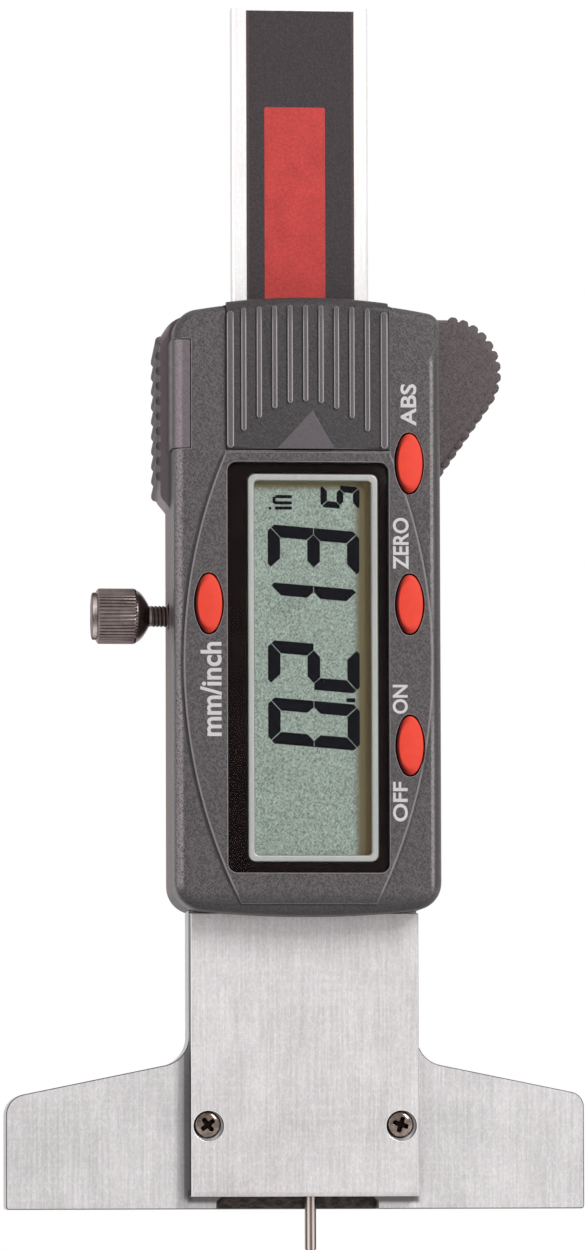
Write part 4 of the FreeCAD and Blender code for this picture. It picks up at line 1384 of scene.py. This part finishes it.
@dataclass
class SlidingBeam:
    """The beam, its black scale film, the red field on the film and the probe rod."""

    finishes: Finishes
    red_left: float = -4.75
    red_right: float = 3.3
    red_low: float = 112.0
    red_high: float = 145.5
    red_thick: float = 0.03
    film_front: float = -1.70
    rod_x: float = 1.1
    rod_radius: float = 0.75
    rod_low: float = -5.42
    rod_high: float = 31.9

    def build(self) -> None:
        """Makes and dresses the beam's pieces."""
        finish_node("beam", self.finishes.beam)
        finish_node("beam_scale", self.finishes.film)
        self.red_field()
        self.rod()

    def red_field(self) -> None:
        """The plain red block printed on the film."""
        outline = round_box(self.red_left, self.red_right, self.red_low, self.red_high, 0.25)
        field_piece = prism("scale_red_field", outline, self.film_front - self.red_thick,
                            self.film_front + 0.02, self.finishes.red_film)
        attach(field_piece, Body.BEAM.value)
        LOG.info("red field on the scale film")

    def rod(self) -> None:
        """The probe rod with a rounded tip."""
        r, low = self.rod_radius, self.rod_low
        profile = [(0.0, low), (r - 0.3, low), (r - 0.12, low + 0.05), (r - 0.03, low + 0.14),
                   (r, low + 0.28), (r, low + 8.0), (r, self.rod_high), (0.0, self.rod_high)]
        rod = spun("probe_rod_polished", profile, Axis.Z, (self.rod_x, 0.0, 0.0),
                   self.finishes.rod)
        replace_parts(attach(rod, Body.BEAM.value), "probe_rod")
        LOG.info("probe rod")


@dataclass
class CrossScrew:
    """A pan head with a cross recess, made as a polar grid of heights."""

    radius: float = 1.9
    rise: float = 0.7
    skirt: float = 0.55
    blade: float = 0.26
    reach: float = 1.15
    depth: float = 0.62
    rings: int = 30
    sides: int = 72

    def height(self, across: float, up: float) -> float:
        """How high the head stands at a place on it.

        Args:
            across: the place across the head, in millimetres.
            up: the place up the head.

        Returns:
            The height in millimetres.
        """
        out = math.hypot(across, up) / self.radius
        dome = self.rise * (1.0 - min(1.0, out) ** 4 * 0.45)
        dome -= self.rise * 0.55 * max(0.0, (out - 0.82) / 0.18) ** 2
        a, b = sorted((abs(across), abs(up)))
        side = min(1.0, max(0.0, (self.blade - a) / 0.12))
        end = min(1.0, max(0.0, (self.reach - b) / 0.45))
        cut = side * end
        return dome - self.depth * cut * cut * (3 - 2 * cut)

    def make(self, name: str, material: bpy.types.Material) -> bpy.types.Object:
        """The head round the origin, facing -Y.

        Args:
            name: the object's name.
            material: its finish.

        Returns:
            The pattern object.
        """
        points: list[Point] = [(0.0, -self.height(0.0, 0.0), 0.0)]
        for ring in range(1, self.rings + 1):
            radius = self.radius * ring / self.rings
            for side in range(self.sides):
                turn = math.tau * side / self.sides
                x, z = radius * math.cos(turn), radius * math.sin(turn)
                points.append((x, -self.height(x, z), z))
        for side in range(self.sides):
            turn = math.tau * side / self.sides
            points.append((self.radius * math.cos(turn), self.skirt, self.radius * math.sin(turn)))
        points.append((0.0, self.skirt, 0.0))
        last, rim = len(points) - 1, 1 + self.rings * self.sides
        faces = ring_faces(self.rings + 1, self.sides, 1)
        for side in range(self.sides):
            after = (side + 1) % self.sides
            faces += [(0, 1 + side, 1 + after), (rim + side, last, rim + after)]
        return piece_from(name, points, faces, material, 50.0)


@dataclass
class MeasuringBase:
    """The T-shaped steel base, the cover plate over its channel and the plate's screws."""

    finishes: Finishes
    screw_across: float = 12.7
    screw_height: float = 10.9
    plate_front: float = -4.75
    screw_shift: float = -0.14
    screw_lift: float = 0.15
    plate_foot: float = 2.0
    plate_drop: float = 0.2

    def build(self) -> None:
        """Makes and dresses the base's pieces."""
        f = self.finishes
        softened("base_frame", "base_T_ground", Body.FRAME, f.frame, 0.13,
                 edge=f.frame_edge_dark_reflection)
        plate = softened("cover_plate", "cover_plate_ground", Body.FRAME, f.plate,
                         0.10, edge=f.plate_edge_highlight)
        for vertex in plate.data.vertices:
            if vertex.co.z < self.plate_foot * MM:
                vertex.co.z -= self.plate_drop * MM
        finish_node("stop_pin", f.pin)
        self.screws()

    def screws(self) -> None:
        """The two cross-recess screws."""
        head = CrossScrew(radius=1.80, rise=0.86, skirt=1.0, blade=0.3, reach=1.1, depth=0.8)
        pattern = head.make("plate_screw_pattern", self.finishes.plate_screw)
        places = [(side * self.screw_across + self.screw_shift, self.plate_front + 0.55,
                   self.screw_height + self.screw_lift) for side in (-1, 1)]
        screws = copies_at("plate_screw_heads", pattern, places, self.finishes.plate_screw,
                           (52.0, 18.0))
        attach(screws, Body.FRAME.value)
        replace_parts(screws, "plate_screws")
        LOG.info("plate screws")


@dataclass
class DisplayHead:
    """Both housing shells, the port strip, the screws in the back and all marks."""

    finishes: Finishes
    face: float = -11.0
    mark_thick: float = 0.04
    marks: tuple[tuple[str, float, float, float, float], ...] = (
        ("ABS", 12.2, 14.3, 102.4, 107.9),
        ("ZERO", 11.1, 13.2, 83.5, 90.3),
        ("ON", 11.0, 13.0, 64.6, 68.4),
        ("OFF", 11.0, 12.95, 50.5, 55.7),
        ("mm/inch", -14.2, -11.4, 61.6, 73.9),
    )

    def build(self) -> None:
        """Makes and dresses the head's pieces."""
        f = self.finishes
        softened("front_housing", "head_front_shell", Body.FRAME, f.face, 0.09,
                 edge=f.lit_edge)
        softened("rear_housing", "head_rear_shell", Body.FRAME, f.back, 0.10)
        softened("port_cover", "data_port_strip", Body.PORT, f.strip, 0.04)
        softened("battery_cover", "battery_cover_ribbed", Body.COVER, f.door, 0.11,
                 2, edge=f.door_edge_highlight, cut=True)
        self.lettering()
        self.back_screws()

    def lettering(self) -> None:
        """The generic white marks beside the keys, read from below."""
        for words, left, right, low, high in self.marks:
            level = self.face if abs(left) < 12.1 or words == "mm/inch" else self.face + 0.3
            mark = self.mark(words, left, right, low, high, level)
            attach(mark, Body.FRAME.value)
            LOG.info("mark %s", words)

    def mark(self, words: str, left: float, right: float, low: float, high: float,
             level: float) -> bpy.types.Object:
        """One word in raised ink.

        Args:
            words: the word.
            left: its box in the front view, in millimetres.
            right: the box's right side.
            low: the box's lower end.
            high: the box's upper end.
            level: the face that it is printed on.

        Returns:
            The mark as a mesh.
        """
        name = "mark_" + words.replace("/", "_").lower()
        curve = bpy.data.curves.new(name, "FONT")
        curve.body = words
        curve.size = 1.0
        curve.extrude = 0.01
        curve.offset = 0.022
        curve.resolution_u = 4
        text = placed(name + "_text", curve)
        graph = bpy.context.evaluated_depsgraph_get()
        mesh = bpy.data.meshes.new_from_object(text.evaluated_get(graph), depsgraph=graph)
        bpy.data.objects.remove(text)
        across = [v.co.x for v in mesh.vertices]
        rise = [v.co.y for v in mesh.vertices]
        long_scale = (high - low) / (max(across) - min(across))
        tall_scale = (right - left) / (max(rise) - min(rise))
        for vertex in mesh.vertices:
            along = low + (vertex.co.x - min(across)) * long_scale
            up = right - (vertex.co.y - min(rise)) * tall_scale
            deep = level - (self.mark_thick if vertex.co.z > 0 else -self.mark_thick)
            vertex.co = metres((up, deep, along))
        mesh.name = name
        return dress(placed(name, closed(mesh)), self.finishes.ink)

    def back_screws(self) -> None:
        """The four screws in the back."""
        head = CrossScrew(radius=1.68, rise=0.0, skirt=-0.4, blade=0.22, reach=1.0, depth=0.5)
        pattern = head.make("back_screw_pattern", self.finishes.screw)
        places = [(x, 5.50, z) for x in (-12.7, 12.7) for z in (44.7, 112.9)]
        for vertex in pattern.data.vertices:
            vertex.co.y = -vertex.co.y
        pattern.data.flip_normals()
        screws = copies_at("back_screw_heads", pattern, places, self.finishes.screw,
                           (12.0, 40.0, 66.0, 25.0))
        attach(screws, Body.FRAME.value)
        finish_node("housing_screws", self.finishes.screw)
        LOG.info("screws in the back")


@dataclass
class ReadoutWindow:
    """Lens, black mask, silver ring, glass and the figures that it shows."""

    finishes: Finishes
    level: float = -8.60
    ink: float = 0.015
    lens_back: float = -10.0
    lens_lift: float = 0.3
    figures_foot: float = 6.95
    tall: float = 12.05
    wide: float = 6.05
    stroke: float = 1.66
    gap: float = 0.075
    lean: float = 0.083
    corner_share: float = 0.5
    starts: tuple[float, ...] = (59.87, 67.37, 74.95, 82.55)
    shown: str = "0213"
    lit: dict[str, str] = field(default_factory=lambda: {
        "0": "abcdef", "1": "bc", "2": "abged", "3": "abgcd", "5": "afgcd"})

    def build(self) -> None:
        """Makes and dresses the window's pieces."""
        f = self.finishes
        lens = softened("display_lens", "display_lens_thin", Body.FRAME, f.lens,
                        0.06)
        for vertex in lens.data.vertices:
            vertex.co.y = min(vertex.co.y, (self.lens_back - self.lens_lift) * MM)
        finish_node("lens_mask", f.mask)
        finish_node("lcd_panel", f.glass)
        softened("lcd_frame", "display_ring_silver", Body.FRAME, f.ring, 0.28, 3)
        for index, figure in enumerate(self.shown):
            self.figure(f"figure_{index}", figure, self.starts[index], self.figures_foot,
                        self.tall, self.wide, self.stroke, self.gap)
        self.figure("figure_small", "5", 91.45, 7.0, 5.15, 3.05, 0.9, 0.07)
        self.blocks()

    def segment(self, letter: str, tall: float, wide: float, stroke: float,
                gap: float) -> list[Flat]:
        """One bar of a figure as (along, up) corners.

        Args:
            letter: the bar, a to g.
            tall: the figure's height.
            wide: its width.
            stroke: the bar's width.
            gap: the clear line between bars.

        Returns:
            The corners of the bar.
        """
        s, g, c = stroke, gap / 2, stroke * self.corner_share
        mid = tall / 2
        top = [(c + g, tall), (wide - c - g, tall), (wide - c / 2 - g, tall - c / 2 + g),
               (wide - s - g, tall - s + g), (s + g, tall - s + g), (c / 2 + g, tall - c / 2 + g)]
        upper = [(0.0, tall - c - g), (c / 2 - g, tall - c / 2 - g), (s - g, tall - s - g),
                 (s - g, mid + s / 2 + g), (s / 2, mid + g), (0.0, mid + g)]
        if letter == "g":
            point = s / 2 + g * 1.4
            return [(point, mid), (s + g, mid + s / 2), (wide - s - g, mid + s / 2),
                    (wide - point, mid), (wide - s - g, mid - s / 2), (s + g, mid - s / 2)]
        bar = top if letter in "ad" else upper
        if letter in "bc":
            bar = [(wide - x, z) for x, z in bar]
        if letter in "cde":
            bar = [(x, tall - z) for x, z in bar]
        return bar

    def figure(self, name: str, figure: str, start: float, foot: float, tall: float,
               wide: float, stroke: float, gap: float) -> None:
        """One figure, read from below, as one mesh of bars.

        Args:
            name: the piece's name.
            figure: what it shows.
            start: where it starts up the window, in millimetres.
            foot: where its foot is across the window.
            tall: its height.
            wide: its width.
            stroke: the bars' width.
            gap: the clear line between bars.
        """
        points: list[Point] = []
        faces: list[tuple[int, ...]] = []
        for letter in self.lit[figure]:
            corners = self.segment(letter, tall, wide, stroke, gap)
            base, count = len(points), len(corners)
            flat = [(foot - up, start + along + up * self.lean) for along, up in corners]
            points += [(x, level, z) for level in (self.level, self.level + self.ink)
                       for x, z in flat]
            faces += [tuple(range(base, base + count)),
                      tuple(range(base + count, base + 2 * count))]
            faces += ring_faces(2, count, base)
        made = piece_from(name, points, faces, self.finishes.segment)
        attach(made, Body.FRAME.value)
        LOG.info("display figure %s", figure)

    def blocks(self) -> None:
        """The point and the unit sign."""
        dot = prism("figure_point", round_box(5.2, 6.35, 66.25, 66.8, 0.1, 2), self.level,
                    self.level + self.ink, self.finishes.segment)
        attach(dot, Body.FRAME.value)
        stem = 0.42
        bars = [round_box(-4.15, -1.9, 91.5, 91.5 + stem, 0.1, 2),
                round_box(-4.98, -4.6, 91.48, 91.86, 0.16, 3),
                round_box(-4.2, -1.9, 92.18, 92.18 + stem, 0.1, 2),
                round_box(-4.1, -1.9, 93.0, 93.0 + stem, 0.1, 2),
                round_box(-4.45, -4.05, 92.3, 93.2, 0.16, 3)]
        for index, outline in enumerate(bars):
            bar = prism(f"figure_unit_{index}", outline, self.level, self.level + self.ink,
                        self.finishes.segment)
            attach(bar, Body.FRAME.value)
        LOG.info("point and unit sign")


@dataclass
class PressKeys:
    """The four oval keys with crowned faces."""

    finishes: Finishes
    wide: float = 3.5
    tall: float = 7.72
    proud: float = -11.45
    deep: float = -9.3
    crown: float = 0.16
    rim: float = 0.42
    keys: tuple[tuple[str, Body, float, float], ...] = (
        ("key_abs", Body.ABS, 13.3, 97.45),
        ("key_zero", Body.ZERO, 13.3, 78.95),
        ("key_on_off", Body.ON_OFF, 13.3, 60.45),
        ("key_mm_inch", Body.UNITS, -13.05, 78.95),
    )

    def build(self) -> None:
        """Makes the keys."""
        for node, body, x, z in self.keys:
            key = self.key(node + "_cap", x, z)
            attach(key, body.value)
            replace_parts(key, node)
            LOG.info("key %s", node)

    def key(self, name: str, x: float, z: float) -> bpy.types.Object:
        """One key: a crowned oval face, a rounded rim and a skirt down to its flange.

        Args:
            name: the piece's name.
            x: its middle in the front view, in millimetres.
            z: the same, upwards.

        Returns:
            The piece.
        """
        sides, brow, steps = 72, 0.86, 6
        rings = [(self.rim, self.crown * share * share, share / brow)
                 for share in (0.25, 0.5, 0.72, brow)]
        face_drop = rings[-1][1]
        for step in range(1, steps + 1):
            turn = math.tau / 4 * step / steps
            rings.append((self.rim * (1 - math.sin(turn)),
                          face_drop + self.rim * (1 - math.cos(turn)), 1.0))
        rings.append((0.0, self.deep - self.proud, 1.0))
        points: list[Point] = [(x, self.proud, z)]
        for inset, drop, share in rings:
            for side in range(sides):
                turn = math.tau * side / sides
                points.append((x + (self.wide / 2 - inset) * math.cos(turn) * share,
                               self.proud + drop,
                               z + (self.tall / 2 - inset) * math.sin(turn) * share))
        faces = ring_faces(len(rings), sides, 1)
        faces += [(0, 1 + side, 1 + (side + 1) % sides) for side in range(sides)]
        faces.append(tuple(range(1 + (len(rings) - 1) * sides, 1 + len(rings) * sides)))
        made = piece_from(name, points, faces, self.finishes.key, 60.0)
        # Painted shade on the rim's left and lower side, away from the key lamp.
        flank_shade = made.data.attributes.new("flank_shade", "FLOAT", "POINT")
        for vertex, value in zip(made.data.vertices, flank_shade.data):
            across = (vertex.co.x / MM - x) / (self.wide / 2)
            up = (vertex.co.z / MM - z) / (self.tall / 2)
            out = math.hypot(across, up)
            facing = (0.30 - across - 0.25 * up) / max(out, 0.01)
            value.value = min(1.0, max(0.0, (out - 0.80) / 0.09)) * min(1.0, max(0.0, facing))
        return made


@dataclass
class LockScrew:
    """The knurled clamp screw in the left side."""

    finishes: Finishes
    height: float = 78.1
    wall: float = -17.5
    neck: float = 2.55
    shoulder: float = 1.93
    drum: float = 5.1
    radius: float = 3.68
    ribs: int = 46
    rib_seat: float = 0.22
    neck_radius: float = 1.36
    flats: int = 76
    dome_power: float = 1.78
    thread_radius: float = 1.5
    pitch: float = 0.5

    def build(self) -> None:
        """Makes the screw's body, knurl and thread."""
        body = self.body()
        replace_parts(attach(body, Body.LOCK.value), "lock_screw")
        for piece in (self.knurl(), self.thread(), self.cap(), self.stem()):
            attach(piece, Body.LOCK.value)
        LOG.info("lock screw")

    def body(self) -> bpy.types.Object:
        """Drum core, domed shoulder and neck in one turned piece.

        Returns:
            The piece.
        """
        neck = self.wall - self.neck
        dome = neck - self.shoulder
        end = dome - self.drum
        core = self.radius - self.rib_seat
        profile = [(0.0, end + 0.02), (core - 0.25, end + 0.02), (core - 0.06, end + 0.10),
                   (core, end + 0.28), (core, dome + 0.1)]
        for step in range(1, 13):
            share = step / 12
            bulge = (core - self.neck_radius) * (1.0 - share ** self.dome_power)
            profile.append((self.neck_radius + bulge, dome + 0.1 + (self.shoulder - 0.1) * share))
        profile += [(self.neck_radius, neck + 0.3), (0.0, neck + 0.3)]
        return spun("lock_screw_body", profile, Axis.X, (0.0, 0.0, self.height),
                    self.finishes.lock, self.flats)

    def cap(self) -> bpy.types.Object:
        """The bright turned disc on the outer end.

        Returns:
            The piece.
        """
        end = self.wall - self.neck - self.shoulder - self.drum
        profile = [(0.0, end - 0.54), (2.85, end - 0.54), (3.02, end - 0.50), (3.12, end - 0.38),
                   (3.12, end + 0.10), (0.0, end + 0.10)]
        return spun("lock_screw_cap", profile, Axis.X, (0.0, 0.0, self.height),
                    self.finishes.cap, self.flats)

    def stem(self) -> bpy.types.Object:
        """The core of the thread and the plain nose.

        Returns:
            The piece.
        """
        neck = self.wall - self.neck
        profile = [(0.0, neck + 0.1), (1.30, neck + 0.1), (1.30, -10.2), (0.8, -9.9),
                   (0.8, -9.72), (0.0, -9.72)]
        return spun("lock_screw_stem", profile, Axis.X, (0.0, 0.0, self.height),
                    self.finishes.neck, 48)

    def knurl(self) -> bpy.types.Object:
        """The straight ribs round the drum, which fade into the dome.

        Returns:
            The piece.
        """
        dome = self.wall - self.neck - self.shoulder
        half = self.drum / 2 + 0.2
        radius = 0.20
        points: list[Point] = []
        stations = [(-half + 0.42, 0.35), (-half + 0.52, 0.85), (-half + 0.68, 1.0),
                    (half - 0.4, 1.0), (half - 0.1, 0.6), (half, 0.1)]
        sides = 8
        for along, share in stations:
            for side in range(sides):
                turn = math.tau * side / sides
                points.append((along, radius * share * math.cos(turn),
                               radius * share * math.sin(turn)))
        faces = ring_faces(len(stations), sides)
        faces += [tuple(range(sides)), tuple(range(len(points) - sides, len(points)))]
        pattern = piece_from("knurl_rib_pattern", points, faces, self.finishes.lock, 60.0)
        return ring_of("lock_screw_knurl", pattern, self.ribs,
                       (dome - self.drum / 2, 0.0, self.height), self.radius - self.rib_seat,
                       self.finishes.lock)

    def thread(self) -> bpy.types.Object:
        """The screw thread as one helical ridge round the neck.

        Returns:
            The piece.
        """
        start = self.wall - self.neck + 0.25
        end = -10.3
        steps = 26
        turns = (end - start) / self.pitch
        total = int(turns * steps)
        points: list[Point] = []
        for index in range(total + 1):
            along = start + (end - start) * index / total
            turn = math.tau * turns * index / total
            for radius, offset in ((1.28, -0.22), (self.thread_radius - 0.1, -0.07),
                                   (self.thread_radius - 0.1, 0.07), (1.28, 0.22)):
                points.append((along + offset, radius * math.cos(turn),
                               self.height + radius * math.sin(turn)))
        faces = [(0, 1, 2, 3), (4 * total, 4 * total + 1, 4 * total + 2, 4 * total + 3)]
        for index in range(total):
            a = 4 * index
            for k in range(4):
                faces.append((a + k, a + (k + 1) % 4, a + 4 + (k + 1) % 4, a + 4 + k))
        return piece_from("lock_screw_thread", points, faces, self.finishes.neck, 40.0)


@dataclass
class InnerWorks:
    """What the housing hides: board, cell, contacts and gib strip."""

    finishes: Finishes

    def build(self) -> None:
        """Dresses the inner solids."""
        f = self.finishes
        for node, material in (
            ("circuit_board", f.board), ("chip_cover", f.epoxy), ("clock_crystal", f.cell),
            ("key_domes", f.cell), ("battery", f.cell), ("battery_contact_plus", f.spring),
            ("battery_contact_minus", f.spring), ("data_contacts", f.gold),
            ("zebra_strip", f.zebra), ("gib_strip", f.brass),
        ):
            finish_node(node, material)


@dataclass
class Studio:
    """Camera, lamps, world and floor."""

    focal: float = 7486.0
    distance: float = 986.0
    azimuth: float = 5.7
    eye: float = -3.0
    roll: float = 0.003
    frame_tall: float = 1250.0
    axis_row: float = 925.0
    axis_column: float = 292.5
    probe_x: float = 1.1
    probe_column: float = 310.45
    probe_row: float = 1232.0
    world_light: float = 0.24
    floor_glow: float = 0.82
    floor_half: float = 3000.0
    floor_level: float = -25.6
    aim: Point = (0.0, -4.0, 80.0)
    lights: tuple[tuple[str, Point, float, float, float], ...] = (
        ("key_lamp", (390.0, -624.0, 505.0), 180.0, 380.0, 4.6),
        ("side_lamp", (-727.0, -128.0, 210.0), 200.0, 600.0, 0.8),
    )

    def build(self) -> None:
        """Makes the whole studio."""
        self.camera()
        self.world()
        self.lamps()
        self.floor()
        view = bpy.context.scene.view_settings
        view.view_transform = "Standard"

    def camera(self) -> None:
        """The camera at the photograph's place, aimed a little upwards."""
        turn = math.radians(self.azimuth)
        where = Vector((self.probe_x - self.distance * math.sin(turn),
                        -self.distance * math.cos(turn), self.eye))
        level = Vector((math.sin(turn), math.cos(turn), 0.0))
        side = Vector((math.cos(turn), -math.sin(turn), 0.0))
        column = (self.axis_column - self.probe_column) + (1230.0 - self.axis_row) * self.roll
        row = self.probe_row - self.axis_row
        aim = (level * self.focal + side * column + Vector((0, 0, 1)) * row).normalized()
        right = aim.cross(Vector((0, 0, 1))).normalized()
        up = right.cross(aim).normalized()
        spin = Matrix.Rotation(self.roll, 3, aim)
        right, up = spin @ right, spin @ up
        data = bpy.data.cameras.new("camera")
        data.sensor_width = 36.0
        data.lens = 36.0 * self.focal / self.frame_tall
        data.shift_y = (self.axis_row - self.frame_tall / 2) / self.frame_tall
        data.clip_start, data.clip_end = 0.05, 20.0
        camera = placed("camera", data)
        camera.matrix_world = Matrix((
            (right.x, up.x, -aim.x, where.x * MM), (right.y, up.y, -aim.y, where.y * MM),
            (right.z, up.z, -aim.z, where.z * MM), (0, 0, 0, 1)))
        bpy.context.scene.camera = camera

    def world(self) -> None:
        """White for the camera and for mirrors, softer as a light."""
        g = Graph("world", "worlds")
        strength = g.node("ShaderNodeMapRange", None, g.seen(), None, None, self.world_light, 1.0)
        back = g.node("ShaderNodeBackground", None, WHITE, strength.outputs[0])
        g.node("ShaderNodeOutputWorld", None, back.outputs[0])
        bpy.context.scene.world = g.owner

    def lamps(self) -> None:
        """A soft key from the upper right and a soft strip from the left side."""
        for name, where, wide, tall, power in self.lights:
            data = bpy.data.lights.new(name, "AREA")
            data.shape = "RECTANGLE"
            data.size = wide * MM
            data.size_y = tall * MM
            data.energy = power
            lamp = placed(name, data)
            lamp.location = metres(where)
            aim = metres(self.aim) - lamp.location
            lamp.rotation_euler = aim.to_track_quat("-Z", "Y").to_euler()

    def floor(self) -> None:
        """A wide pale floor, low enough for the probe at its longest."""
        corners = [metres((self.floor_half * a, self.floor_half * b, self.floor_level))
                   for a, b in ((-1, -1), (1, -1), (1, 1), (-1, 1))]
        mesh = bpy.data.meshes.new("floor")
        mesh.from_pydata(corners, [], [(0, 1, 2, 3)])
        floor = placed("floor", mesh)
        g = Graph("floor_pale")
        speck = g.noise(g.place(), 0.02, 2.0, 0.5)
        matt = g.node("ShaderNodeBsdfDiffuse", None,
                      Color=g.mix(speck, (0.78, 0.78, 0.78), (0.84, 0.84, 0.84)))
        glow = g.node("ShaderNodeEmission", None, Color=WHITE,
                      Strength=g.seen() * self.floor_glow)
        both = g.node("ShaderNodeAddShader", None, matt.outputs[0], glow.outputs[0])
        dress(floor, g.close(both.outputs[0]))


def main() -> None:
    """Builds every sub-assembly in order."""
    logging.basicConfig(level=logging.INFO, format="%(name)s: %(message)s")
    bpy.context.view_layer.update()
    finishes = Finishes()
    for assembly in (SlidingBeam(finishes), MeasuringBase(finishes), DisplayHead(finishes),
                     ReadoutWindow(finishes), PressKeys(finishes), LockScrew(finishes),
                     InnerWorks(finishes)):
        LOG.info("building %s", type(assembly).__name__)
        assembly.build()
    Studio().build()


if __name__ == "__main__":
    main()
